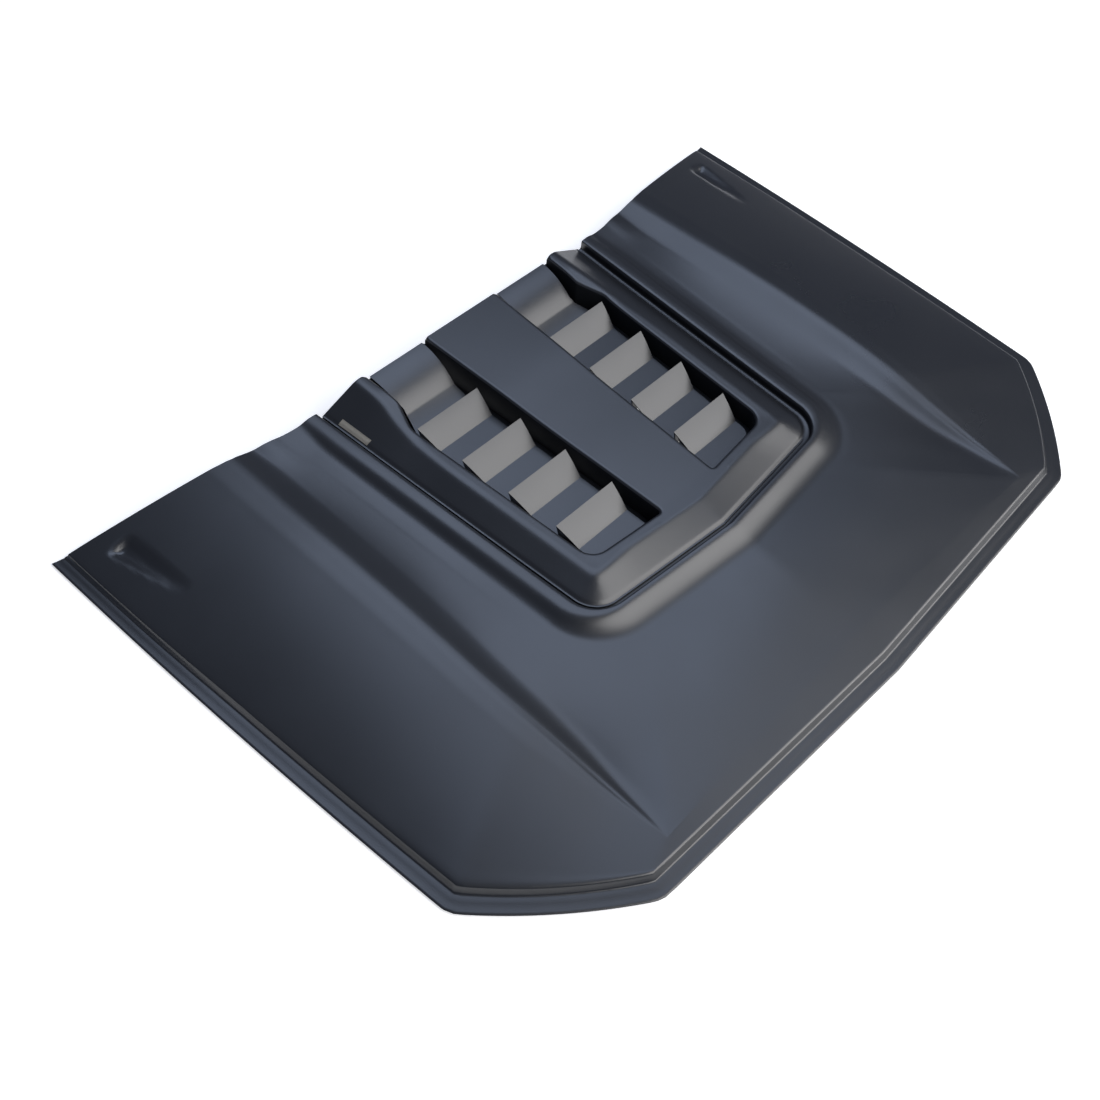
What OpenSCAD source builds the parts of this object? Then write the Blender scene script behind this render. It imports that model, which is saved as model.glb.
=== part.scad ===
// Full-width bonnet scoop: a thin moulded cover sheet with a raised plinth, a vent
// insert set into the plinth, and two banks of louvres under the insert's openings.
// X runs across the car, +Y towards the windscreen, +Z up. The origin is on the
// ground plane, under the middle of the cover. Sizes are in millimetres.

/* [Cover outline] */
// Width across the rear corners
cover_w = 1400; // [1300:5:1500]
// Length from the rear corners to the front point
cover_len = 920; // [880:5:1000]
// How far the rear edge runs forward at the middle
rear_bow = 76; // [40:1:100]
// How much each side closes in towards the front
side_taper = 37; // [15:1:60]
// Outward bow of each long side
side_bow = 6; // [0:0.5:12]
// Width of the cut-off front corner
corner_w = 191; // [140:1:230]
// Length of the cut-off front corner
corner_len = 168; // [120:1:210]
// Outward bow of the cut-off corner
corner_bow = 9; // [0:0.5:16]
// Depth of the shallow V along the front edge
front_v = 17; // [0:1:40]

/* [Cover sheet] */
// Thickness of the cover sheet
sheet_t = 3; // [2:0.25:4]
// Width of the flat flange and step at the rear corners
flange_rear = 24; // [21:0.5:34]
// Width of the flat flange and step at the front
flange_front = 29; // [21:0.5:36]
// Run of the sloping step, seen from above
step_run = 6.5; // [5:0.5:9]
// Rise of the step at the rear corners
step_rear = 7; // [5:0.5:14]
// Rise of the step along the sides and the front
step_h = 12; // [8:0.5:18]

/* [Shoulder] */
// Distance between the two shoulder crests
shoulder_span = 862; // [820:2:900]
// Height of the shoulder crests at the rear edge
shoulder_rear = 54.5; // [48:0.5:62]
// Extra height of the shoulder crests a third of the way forward
shoulder_arch = 4; // [0:0.5:8]
// Height of the shoulder line where it fades out at the front
shoulder_front = 16.5; // [14:0.5:24]
// Drop from the crest to the central panel
shoulder_drop = 11; // [5:0.5:15]
// Width of the sloping face inside the crest
shoulder_face = 44; // [30:1:55]

/* [Washer pockets] */
// Distance of each pocket from the centre line
pocket_x = 622; // [590:1:635]
// Distance of each pocket behind the rear corner line
pocket_y = 46; // [40:1:60]
// Length of a pocket from its deep end to its tail
pocket_len = 132; // [100:2:170]
// Width of a pocket at its deep end
pocket_w = 34; // [24:1:44]
// Depth of a pocket
pocket_depth = 9; // [4:0.5:12]

/* [Plinth and aperture] */
// Width of the vent insert at the rear edge
insert_w = 556; // [520:2:580]
// How much each side of the insert closes in towards the front
insert_taper = 30.5; // [15:0.5:45]
// Length of the insert from the rear edge to its front corners
insert_len = 517; // [480:1:540]
// Depth of the V along the front of the insert
insert_v = 23; // [5:1:35]
// Radius of the insert's front corners
insert_r = 45; // [30:1:60]
// Gap between the insert and the lip of the cover
lip_gap = 8; // [5:0.5:10]
// Height of the lip at the rear edge
lip_rear = 50; // [46:0.5:56]
// Height of the lip at the front corners
lip_front = 43; // [39:0.5:47]
// Extra height of the lip at the centre line, at the front
lip_crown = 4.5; // [0:0.5:7]
// Rounded swell of the lip above its edge
lip_swell = 2.5; // [1:0.5:4]
// Width of the plinth from the insert to its foot
plinth_w = 60; // [50:1:66]
// Height of the plinth over the panel at the rear edge
plinth_rear = 5.5; // [3:0.5:8]
// Height of the plinth over the panel at the front
plinth_front = 13.5; // [9:0.5:16]

/* [Vent insert] */
// Wall thickness of the insert
insert_t = 2.5; // [2:0.25:3.5]
// Height of the insert's foot at the rear edge
foot_rear = 40; // [37:0.5:43]
// Height of the insert's foot at the front corners
foot_front = 34; // [31:0.5:37]
// Extra height of the foot at the centre line, at the front
foot_crown = 4; // [0:0.5:6]
// Height of the surround at the rear edge
rim_rear = 73.5; // [66:0.5:80]
// Height of the surround beside the louvres
rim_mid = 55.5; // [52:0.5:60]
// Height of the surround at the front
rim_front = 52; // [49:0.5:56]
// Height of the central bar at the rear edge
bar_rear = 71; // [64:0.5:78]
// Width of the central bar at the rear edge
bar_w_rear = 154; // [130:1:170]
// Width of the central bar at the front
bar_w_front = 113; // [95:1:130]
// Height of the lower edge of the walls round the louvres
wall_foot = 16; // [12:0.5:18]
// Width of the surround between the insert's edge and the opening
surround_w = 62; // [56:1:66]
// Width of the front bar between the insert's edge and the openings
front_bar_w = 66; // [56:1:72]
// Extra width of the surround behind the kink
kink_w = 20; // [10:1:26]
// Distance of the kink from the insert's rear edge
kink_y = 78; // [60:1:90]
// Length of the kink
kink_len = 44; // [30:1:60]
// Radius of the outer front corner of each opening
opening_r = 27; // [15:1:35]

/* [Louvres] */
// Thickness of the louvre sheet
louvre_t = 2.5; // [2:0.25:3]
// Number of ridges ahead of the long rear blade
ridge_count = 4; // [3:1:4]
// Distance from one ridge to the next
ridge_pitch = 87.5; // [84:0.5:90]
// Distance of the first ridge behind the insert's rear edge
ridge_first = 122; // [116:1:126]
// Height of the ridges
ridge_z = 52.5; // [50:0.5:54]
// Run of the sloping face of a ridge
face_run = 38; // [30:1:46]
// Drop of the sloping face of a ridge
face_drop = 27; // [20:0.5:30]
// Rear height of the long rear blade
blade_rear = 63; // [58:0.5:66]
// Run of the long rear blade
blade_run = 77; // [70:1:84]
// Drop of the long rear blade
blade_drop = 29; // [22:0.5:34]
// Gap between the blades and the walls round them
blade_gap = 4; // [2:0.5:7]
// Width of the flange that carries a louvre bank
bank_flange = 11; // [8:0.5:14]

/* [Fixings] */
// Thickness of the bonding tape
tape_t = 1.1; // [0.8:0.1:2]
// Width of the bonding tape
tape_w = 12; // [9:0.5:13]
// Distance of the tape from the cover's edge
tape_inset = 3; // [2:0.5:4]
// Width of the cover's ledge under the insert
ledge_w = 17; // [15:0.5:20]
// Diameter of the insert's fixing studs
stud_d = 4; // [3:0.25:5]
// Clearance of the studs in the ledge, on diameter
stud_clear = 0.8; // [0.4:0.1:1.2]
// Diameter of the push nuts
nut_d = 12; // [10:0.5:13]
// Thickness of the push nuts
nut_t = 0.8; // [0.6:0.1:1.2]

/* [Hidden] */

half_w = cover_w / 2;
// Exponent of the rear edge's curve
rear_power = 2.8;
// Corners of the cover's outline on the +X side
side_start = [half_w, 0];
side_end = [half_w - side_taper, -(cover_len - front_v - corner_len)];
front_start = [half_w - side_taper - corner_w, -(cover_len - front_v)];
front_end = [0, -cover_len];
// Corners of the insert's outline on the +X side
insert_rear_y = -70;
insert_start = [insert_w / 2, insert_rear_y];
insert_corner = [insert_w / 2 - insert_taper, insert_rear_y - insert_len];
insert_end = [0, insert_rear_y - insert_len - insert_v];
// Shoulder line
shoulder_end_y = -(cover_len - 63);
shoulder_turn_y = -625;
// Distance of the studs inside the insert's edge, and their number along a side and
// a half front
stud_inset = 9;
side_studs = 5;
front_studs = 2;
stud_drop = 6;
// Clearance between the insert's foot and the ledge, and under the push nuts
seat_gap = 0.2;
// Walls round the louvres and the louvre bank that hangs under them
wall_z = tape_t + wall_foot;
bank_z = wall_z - louvre_t;
bank_rear_y = insert_rear_y - 4;
// Openings and cuts run this far past the rear edge and the faces that they cut
overrun = 30;
// Radius of the small corners of the openings
small_r = 4;

// Linear blend from a to b
function mix(a, b, u) = a + (b - a) * u;
// Smooth blend factor between 0 and 1
function ease(u) = let (v = max(0, min(1, u))) v * v * (3 - 2 * v);
function unit(v) = v / norm(v);
// Left-hand offset of the line p-q, as a point and a direction
function off_line(p, q, o) = let (d = unit(q - p)) [p + [d.y, -d.x] * o, d];
function cross2(a, b) = a.x * b.y - a.y * b.x;
// Where two lines meet
function meet(a, b) = a[0] + a[1] * cross2(b[0] - a[0], b[1]) / cross2(a[1], b[1]);
// Y of the rear edge at a given X
function rear_y(x) = -rear_bow * (1 - pow(abs(x) / half_w, rear_power));

// Cover outline, offset inwards by o. s runs 0..1 along the side, 1..2 round the
// cut-off corner and 2..3 along the front to the centre line.
function outline(s, o) =
    let (a = off_line(side_start, side_end, o))
    let (b = off_line(side_end, front_start, o))
    let (c = off_line(front_start, front_end, o))
    let (p = [half_w - o, rear_y(half_w - o)])
    let (q = meet(a, b))
    let (r = meet(b, c))
    let (v = c[0] - c[1] * c[0].x / c[1].x)
    let (u = s - floor(min(s, 2)))
    s <= 1 ? mix(p, q, s) + [side_bow * 4 * s * (1 - s), 0] :
    s <= 2 ? mix(q, r, s - 1) + [-b[1].y, b[1].x] * corner_bow * 4 * (s - 1) * (2 - s) :
    mix(r, v, u);

// Insert outline, offset outwards by o, with the same run of s
function aperture(s, o) =
    let (a = off_line(insert_start, insert_corner, -o))
    let (b = off_line(insert_corner, insert_end, -o))
    let (r = max(3, insert_r + o))
    let (turn = acos(a[1] * b[1]))
    let (c = meet(a, b))
    let (t1 = c - a[1] * r * tan(turn / 2))
    let (t2 = c + b[1] * r * tan(turn / 2))
    let (centre = t1 + [a[1].y, -a[1].x] * r)
    let (first = atan2(t1.y - centre.y, t1.x - centre.x))
    let (x1 = a[0].x + a[1].x / a[1].y * (rear_y(a[0].x) - a[0].y))
    let (p = [x1, rear_y(x1)])
    let (v = b[0] - b[1] * b[0].x / b[1].x)
    let (w = first - (s - 1) * turn)
    s <= 1 ? mix(p, t1, s) :
    s <= 2 ? centre + r * [cos(w), sin(w)] :
    mix(t2, v, s - 2);

// Height of the lip's edge, the insert's foot and the plinth
function lip_z(s) = tape_t + lookup(s, [[0, lip_rear], [0.3, mix(lip_rear, lip_front, 0.25)],
    [1, lip_front + 0.5], [1.5, lip_front - 0.5], [2, lip_front], [3, lip_front + lip_crown]]);
function foot_z(s) = tape_t + lookup(s, [[0, foot_rear], [0.25, mix(foot_rear, foot_front, 0.4)],
    [1, mix(foot_rear, foot_front, 0.85)], [2, foot_front], [3, foot_front + foot_crown]]);
function plinth_h(s) = lookup(s, [[0, plinth_rear], [0.3, mix(plinth_rear, plinth_front, 0.32)],
    [1, mix(plinth_rear, plinth_front, 0.65)], [2, plinth_front]]);

// Shoulder crest. Past s = 2 it turns and runs on inside the front step, without a fold.
function shoulder_run(s) =
    s <= 1 ? mix(rear_y(shoulder_span / 2), shoulder_turn_y, s) :
    mix(shoulder_turn_y, shoulder_end_y, s - 1);
function shoulder_x(y) = shoulder_span / 2 - lookup(-y, [[0, 1.5], [300, 0], [525, 1],
    [700, 10], [-shoulder_end_y, 16]]);
function shoulder_z(y) = tape_t + lookup(y / shoulder_end_y,
    [[0, shoulder_rear], [0.16, shoulder_rear + 0.3 * shoulder_arch],
     [0.33, shoulder_rear + shoulder_arch], [0.4, shoulder_rear + 0.9 * shoulder_arch],
     [0.54, shoulder_rear - 0.5], [0.62, mix(shoulder_front, shoulder_rear, 0.86)],
     [0.7, mix(shoulder_front, shoulder_rear, 0.7)], [0.8, mix(shoulder_front, shoulder_rear, 0.4)],
     [0.9, mix(shoulder_front, shoulder_rear, 0.14)], [1, shoulder_front]]);
function shoulder(s) =
    s <= 2 ? let (y = shoulder_run(s)) [shoulder_x(y), y, shoulder_z(y)] :
    let (p = [shoulder_x(shoulder_end_y), shoulder_end_y])
    let (q = [0, -(cover_len - 72)])
    let (v = mix(p, q, s - 2))
    [v.x, v.y, tape_t + shoulder_front + 2.5 * (s - 2)];

// Foot of the sloping face inside the crest
function fold_w(t) = lookup(t, [[0, 0.68], [0.15, 1], [0.36, 1], [0.6, 0.82], [0.8, 0.5],
    [0.95, 0.2], [1, 0.14]]);
function fold_h(t) = lookup(t, [[0, 0.82], [0.15, 1], [0.36, 1], [0.6, 0.8], [0.8, 0.42],
    [0.95, 0.12], [1, 0]]);
function fold(s) =
    let (c = shoulder(s))
    let (t = c.y / shoulder_end_y)
    s <= 2 ? [c.x - shoulder_face * fold_w(t), c.y, c.z - shoulder_drop * fold_h(t)] :
    [c.x * (1 - shoulder_face * 0.14 / shoulder_x(shoulder_end_y)), c.y + 6, c.z + 0.4];

// Step between the flange and the raised panel
function flange_w(s) = lookup(s, [[0, flange_rear], [0.25, flange_rear + 1],
    [0.5, mix(flange_rear, flange_front, 0.8)], [1, flange_front]]);
function crest_z(s) = tape_t + sheet_t + lookup(s, [[0, step_rear], [0.25, mix(step_rear, step_h, 0.55)],
    [0.6, step_h], [1, step_h + 0.5], [2, step_h - 0.5]]);

// Depth of the washer pocket at a point of the side panel
function pocket(p) =
    let (run = (-pocket_y - p.y) / pocket_len)
    let (side = abs(p.x - (pocket_x - 18 * run)) / (pocket_w / 2 * (1 - 0.6 * max(0, run))))
    run <= 0 || run >= 1 || side >= 1 ? 0 :
    pocket_depth * min(1, run / 0.06) * (1 - run) * ease((1 - side) * 1.6);

function lift(p, z) = [p.x, p.y, z];

// One section of the cover, from the ledge under the insert out to the flange's edge
function cover_section(s) =
    let (ledge = foot_z(s) - insert_t)
    let (lip = lip_z(s))
    let (top = lip + lip_swell)
    let (rise = plinth_h(s))
    let (slope = plinth_w - 26)
    let (foot = lift(aperture(s, plinth_w), top - rise))
    let (bend = fold(s))
    let (crest = shoulder(s))
    let (edge = lift(outline(s, flange_w(s)), crest_z(s)))
    let (band = 0.145)
    let (rim = s == 0 ? 3 : 0)
    concat(
        [lift(aperture(s, -ledge_w), ledge),
         lift(aperture(s, lip_gap - 2), ledge),
         lift(aperture(s, lip_gap), ledge + 1.8),
         lift(aperture(s, lip_gap + 0.6), lip - 3),
         lift(aperture(s, lip_gap + 1.8), lip - 0.9),
         lift(aperture(s, lip_gap + 4.2), lip),
         lift(aperture(s, 19), top),
         lift(aperture(s, 26), top - 0.04 * rise)],
        [for (u = [0.25, 0.5, 0.75]) lift(aperture(s, 26 + slope * u), top - rise * ease(u))],
        [foot],
        [for (u = [0.3, 0.6, 0.88]) mix(foot, bend, u) + [0, 0, rim * sin(180 * u)]],
        [bend, mix(bend, crest, 0.5), mix(bend, crest, 0.9), crest + [0, 0, -0.2],
         mix(crest, edge, band) + [0, 0, (crest.z - edge.z) * 0.075]],
        [for (u = [0.3, 0.45, 0.58, 0.68, 0.76, 0.84, 0.92])
            let (p = mix(crest, edge, u))
            let (q = edge.z + (crest.z - edge.z) * (1 - pow(u, 1.7)))
            [p.x, p.y, q - pocket(p)]],
        [edge],
        [lift(outline(s, flange_w(s) - 1.6), crest_z(s) - 2.2),
         lift(outline(s, flange_w(s) - step_run + 1.2), tape_t + sheet_t + 1.8),
         lift(outline(s, flange_w(s) - step_run), tape_t + sheet_t),
         lift(outline(s, 0), tape_t + sheet_t)]);

// Runs of s: closer together round the pockets and the corners
side_steps = [0, 0.02, 0.045, 0.066, 0.08, 0.1, 0.13, 0.165, 0.205, 0.25, 0.32, 0.4, 0.5,
              0.6, 0.7, 0.8, 0.88, 0.95];
corner_steps = [for (i = [0:7]) 1 + i / 8];
front_steps = [for (i = [0:4]) 2 + i / 5];
half_run = concat(side_steps, corner_steps, front_steps);

function mirrored(row) = [for (p = row) [-p.x, p.y, p.z]];
function reversed(list) = [for (i = [len(list) - 1:-1:0]) list[i]];
// Rows of a whole loft, from the rear edge on the -X side round to the +X side
function whole(rows, middle) = concat([for (r = rows) mirrored(r)], [middle], reversed(rows));

// Upward normal of a grid, level across the centre line and where the grid narrows to a point
function grid_normal(g, i, j) =
    let (i0 = max(0, i - 1))
    let (i1 = min(len(g) - 1, i + 1))
    let (j0 = max(0, j - 1))
    let (j1 = min(len(g[0]) - 1, j + 1))
    let (n = cross(g[i][j1] - g[i][j0], g[i1][j] - g[i0][j]))
    let (m = abs(g[i][j].x) < 0.01 ? [0, n.y, n.z] : n)
    norm(m) < 0.001 ? [0, 0, 1] : unit(m) * (m.z < 0 ? -1 : 1);

// Closed solid between a grid of points and its lower copy. Where tip is given, the last
// row doubles back along the centre line: its halves share their points, and those past
// column tip are one point.
module skin(top, low, tip = -1) {
    n = len(top);
    m = len(top[0]);
    folded = tip >= 0;
    all = concat([for (r = top) each r], [for (r = low) each r]);
    k = n * m;
    function spot(i, j) = i * m + (folded && i == n - 1 ? min(j, m - 1 - j, tip) : j);
    cells = [for (i = [0:n - 2], j = [0:m - 2]) each [[spot(i, j), spot(i + 1, j + 1), spot(i, j + 1)],
        [spot(i, j), spot(i + 1, j), spot(i + 1, j + 1)]]];
    upper = [for (f = cells) if (f[1] != f[2]) f];
    under = [for (f = upper) [f[2] + k, f[1] + k, f[0] + k]];
    ring = concat([for (j = [0:m - 2]) j], [for (i = [0:n - 2]) i * m + m - 1],
        [for (j = [m - 1:-1:1]) if (!folded) (n - 1) * m + j], [for (i = [n - 1:-1:1]) i * m]);
    r = len(ring);
    wall = [for (i = [0:r - 1]) let (a = ring[i]) let (b = ring[(i + 1) % r])
        each [[a, b + k, a + k], [a, b, b + k]]];
    polyhedron(points = all, faces = concat(upper, under, wall), convexity = 12);
}

// Lower copy of a grid, a distance t below it along the surface's normal. The rows in
// ends lie along the rear edge and stay upright, and from column level to its mirror
// image the copy lies straight below.
function under_grid(g, t, ends, level) = [for (i = [0:len(g) - 1]) [for (j = [0:len(g[0]) - 1])
    let (n = grid_normal(g, i, j))
    let (upright = len(search(i, ends)) > 0)
    let (down = j >= level && j <= len(g[0]) - 1 - level)
    g[i][j] - (down ? [0, 0, 1] : upright ? unit([n.x, 0, n.z]) : n) * t]];

// Places of the studs on the +X side
stud_runs = concat([for (i = [0:side_studs - 1]) 0.07 + 0.9 * i / (side_studs - 1)], [1.5],
    [for (i = [0:front_studs - 1]) 2.2 + 0.55 * i / (front_studs - 1)]);

module at_studs() {
    for (side = [-1, 1], s = stud_runs) {
        p = aperture(s, -stud_inset);
        translate([side * p.x, p.y, foot_z(s) - insert_t]) children();
    }
}

module cover() {
    g = whole([for (s = half_run) cover_section(s)], cover_section(3));
    color("#2b2d31")
        translate([0, cover_len / 2, 0])
            difference() {
                skin(g, under_grid(g, sheet_t, [0, len(g) - 1], len(g[0])));
                at_studs()
                    translate([0, 0, -2 * sheet_t])
                        cylinder(d = stud_d + stud_clear, h = 3 * sheet_t, $fn = 24);
            }
}

// Distance of the surround's ridge from the insert's edge, and the ridge's height
function ridge_in(s) = lookup(s, [[0, 66], [0.12, 62], [0.22, 52], [0.34, 45], [0.5, 42], [1, 41],
    [2, 42], [3, 44]]);
function ridge_top(s) = tape_t + lookup(s, [[0, rim_rear], [0.1, rim_rear - 1.5],
    [0.2, mix(rim_mid, rim_rear, 0.45)], [0.32, rim_mid + 1.2], [0.5, rim_mid],
    [0.8, mix(rim_mid, rim_front, 0.6)], [1, rim_front], [3, rim_front + 0.5]]);
// Height of the central bar
function bar_z(y) = tape_t + mix(bar_rear, rim_front - 0.5, lookup((insert_rear_y - y) / insert_len,
    [[0, 0], [0.15, 0.16], [0.3, 0.32], [0.42, 0.52], [0.55, 0.68], [0.7, 0.8], [0.9, 1]]));

// Width of the land inside the ridge
ridge_land = 9;
// Steps from the land in to the centre line
inner_steps = [0, 0.2, 0.38, 0.52, 0.63, 0.8, 1];

// Place on the centre line that a section of the insert runs to
function centre_y(s) = mix(rear_y(0), aperture(3, -ridge_in(3) - ridge_land).y,
    lookup(s, [[0, 0], [1, 0.75], [2, 0.9], [3, 1]]));

// One section of the insert's top face, from its edge in to the centre line
function insert_section(s) =
    let (foot = foot_z(s) + seat_gap)
    let (in = ridge_in(s))
    let (top = ridge_top(s))
    let (last = aperture(s, -in - ridge_land))
    let (middle = [0, centre_y(s)])
    let (knee = 7.5)
    concat(
        [lift(aperture(s, 0), foot),
         lift(aperture(s, -4), foot),
         lift(aperture(s, -knee), foot + 2)],
        [for (u = [0.35, 0.65, 0.86])
            lift(aperture(s, -mix(knee, in - 4, u)), mix(foot + 2, top - 0.9, u))],
        [lift(aperture(s, -in + 4), top - 0.9),
         lift(aperture(s, -in), top)],
        [for (v = inner_steps)
            let (q = mix(last, middle, v))
            lift(q, mix(top - 0.8, bar_z(q.y), ease((165 - q.x) / 80)))]);

insert_run = concat([0, 0.06, 0.12, 0.18, 0.25, 0.33, 0.45, 0.6, 0.75, 0.9],
    [for (i = [0:6]) 1 + i / 7], [2, 2.25, 2.5, 2.75, 3]);

// Opening in the insert on the +X side, grown by o
module opening(o = 0) {
    side = off_line(insert_start, insert_corner, surround_w);
    rear = off_line(insert_start, insert_corner, surround_w + kink_w);
    front = off_line(insert_corner, insert_end, front_bar_w);
    middle = front[0] - front[1] * front[0].x / front[1].x;
    bar_front = [bar_w_front / 2, insert_corner.y];
    bar_start = [bar_w_rear / 2, insert_rear_y];
    offset(r = o, $fn = 24)
        offset(r = small_r, $fn = 16)
            offset(delta = -small_r)
                difference() {
                    offset(r = opening_r, $fn = 32)
                        offset(delta = -opening_r)
                            offset(r = -opening_r / 2, $fn = 32)
                                offset(delta = opening_r / 2)
                                    polygon([middle - [overrun, 0], meet(side, front),
                                        side[0] + side[1] * (kink_y + kink_len),
                                        rear[0] + rear[1] * kink_y, rear[0] - rear[1] * overrun,
                                        [-overrun, insert_rear_y + overrun]]);
                    polygon([[-2 * overrun, insert_rear_y + 2 * overrun],
                        bar_start + [0, 2 * overrun], bar_start, bar_front,
                        bar_front - [0, 2 * overrun], [-2 * overrun, bar_front.y - 2 * overrun]]);
                }
}

// Prism through the whole height of the part
module through(low = 0) {
    translate([0, 0, low]) linear_extrude(rim_rear + overrun) children();
}

module both_sides() {
    children();
    mirror([1, 0, 0]) children();
}

// Rows right across the insert, from its edge on the +X side to its edge on the -X side
insert_grid = [for (s = insert_run)
    let (row = insert_section(s))
    concat(row, reversed(mirrored([for (i = [0:len(row) - 2]) row[i]])))];
// Column where the inner part of a section starts
insert_tip = len(insert_section(0)) - len(inner_steps);

module insert_shell() {
    core = under_grid(insert_grid, insert_t / 2, [0], insert_tip - 1);
    floor_grid = [for (row = insert_grid) [for (p = row) lift(p, wall_z)]];
    difference() {
        union() {
            skin(insert_grid, under_grid(insert_grid, insert_t, [0], insert_tip - 1), insert_tip);
            intersection() {
                skin(core, floor_grid, insert_tip);
                both_sides() through() opening(insert_t);
            }
        }
        both_sides() through() opening();
    }
}

module vent_insert() {
    color("#26282b")
        translate([0, cover_len / 2, 0]) {
            insert_shell();
            at_studs()
                translate([0, 0, -sheet_t - stud_drop])
                    cylinder(d = stud_d, h = sheet_t + stud_drop + insert_t + 1.2, $fn = 24);
        }
}

// Top line of a louvre bank, as Y and Z: the long rear blade, then the ridges
blade_line = [for (u = [0, 0.16, 0.32, 0.48, 0.64, 0.82, 1])
    [bank_rear_y - blade_run * u, tape_t + blade_rear - blade_drop * u * u]];
function ridge_line(i) =
    let (y = insert_rear_y - ridge_first - ridge_pitch * i)
    let (z = tape_t + ridge_z)
    concat([[y, z - face_drop + 2]],
        [for (u = [0, 0.25, 0.5, 1]) [y - face_run * u, z - face_drop * pow(u, 1.2)]]);
bank_line = concat(blade_line, [for (i = [0:ridge_count - 1]) each ridge_line(i)],
    [[insert_corner.y, tape_t + ridge_z - face_drop + 2]]);

// Area under the top line, down to z, run past both ends by o
module under_line(z, o = 0) {
    first = bank_line[0];
    last = bank_line[len(bank_line) - 1];
    polygon(concat([[first.x + o, z], [first.x + o, first.y]], bank_line,
        [[last.x - o, last.y], [last.x - o, z]]));
}

module across() {
    rotate([90, 0, 90]) linear_extrude(half_w) children();
}

module louvre_bank() {
    translate([0, cover_len / 2, 0]) {
        intersection() {
            across() difference() {
                under_line(bank_z);
                offset(delta = -louvre_t) under_line(-overrun, overrun);
            }
            through() opening(-blade_gap);
        }
        intersection() {
            across() under_line(bank_z);
            through() difference() {
                opening(-blade_gap);
                opening(-blade_gap - louvre_t);
            }
        }
        translate([0, 0, bank_z])
            linear_extrude(louvre_t)
                intersection() {
                    difference() {
                        opening(bank_flange - blade_gap);
                        opening(-blade_gap - louvre_t);
                    }
                    translate([0, bank_rear_y - cover_len]) square([half_w, cover_len]);
                }
    }
}

module louvre_bank_left() {
    color("#34373c") louvre_bank();
}

module louvre_bank_right() {
    color("#34373c") mirror([1, 0, 0]) louvre_bank();
}

module push_nuts() {
    color("silver")
        translate([0, cover_len / 2, 0])
            at_studs()
                translate([0, 0, -sheet_t - seat_gap - nut_t])
                    difference() {
                        cylinder(d = nut_d, h = nut_t, $fn = 32);
                        translate([0, 0, -nut_t])
                            cylinder(d = stud_d + seat_gap / 2, h = 3 * nut_t, $fn = 24);
                    }
}

// Strip of tape under the flange, between two places along the outline
module tape(from, to) {
    runs = [for (i = [0:12]) mix(from, to, i / 12)];
    outer = [for (s = runs) outline(s, tape_inset)];
    inner = [for (s = runs) outline(s, tape_inset + tape_w)];
    color("#111111")
        translate([0, cover_len / 2, 0])
            linear_extrude(tape_t)
                polygon(concat(outer, reversed(inner)));
}

module tape_side_left() {
    tape(0.03, 0.97);
}

module tape_side_right() {
    mirror([1, 0, 0]) tape_side_left();
}

module tape_corner_left() {
    tape(1.05, 1.95);
}

module tape_corner_right() {
    mirror([1, 0, 0]) tape_corner_left();
}

module tape_front_left() {
    tape(2.03, 2.98);
}

module tape_front_right() {
    mirror([1, 0, 0]) tape_front_left();
}

cover();
vent_insert();
louvre_bank_right();
louvre_bank_left();
push_nuts();
tape_side_right();
tape_side_left();
tape_corner_right();
tape_corner_left();
tape_front_right();
tape_front_left();
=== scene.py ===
"""A full-width bonnet scoop in satin black: cover sheet, vent insert, louvres and fixings.

Lengths are in millimetres up to the point where a mesh is made. X runs across the car,
+Y towards the windscreen and +Z up.
"""

import logging
import math
from dataclasses import dataclass, field
from enum import Enum

import bmesh
import bpy
import numpy as np
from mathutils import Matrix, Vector
from mathutils.geometry import delaunay_2d_cdt


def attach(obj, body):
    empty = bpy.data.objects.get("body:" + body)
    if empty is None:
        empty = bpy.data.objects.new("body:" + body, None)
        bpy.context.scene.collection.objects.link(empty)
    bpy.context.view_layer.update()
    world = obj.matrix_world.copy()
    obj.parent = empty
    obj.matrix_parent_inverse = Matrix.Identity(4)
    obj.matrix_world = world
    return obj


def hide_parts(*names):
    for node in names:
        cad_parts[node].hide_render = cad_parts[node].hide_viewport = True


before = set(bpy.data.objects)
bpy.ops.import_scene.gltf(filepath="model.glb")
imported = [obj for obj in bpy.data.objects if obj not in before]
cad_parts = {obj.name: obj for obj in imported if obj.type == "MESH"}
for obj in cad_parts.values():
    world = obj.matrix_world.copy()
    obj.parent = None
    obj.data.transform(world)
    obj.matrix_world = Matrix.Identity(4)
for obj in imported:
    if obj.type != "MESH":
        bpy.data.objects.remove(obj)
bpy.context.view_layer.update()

MM = 0.001
BODY = "root"
log = logging.getLogger("bonnet_scoop")


Values = float | np.ndarray


def mix(a: Values, b: Values, u: Values) -> Values:
    """Blend from a to b by u."""
    return a + (b - a) * u


def ease(u: Values) -> Values:
    """Smooth blend factor between 0 and 1."""
    v = np.clip(u, 0.0, 1.0)
    return v * v * (3 - 2 * v)


def unit(v: np.ndarray) -> np.ndarray:
    """Vector of length 1 along v."""
    return v / np.linalg.norm(v)


def bow(a: np.ndarray, b: np.ndarray, c: np.ndarray, t: float) -> np.ndarray:
    """Point at t of the curve that leaves a towards b and ends in c."""
    return a * (1 - t) ** 2 + 2 * t * (1 - t) * b + c * t * t


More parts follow.
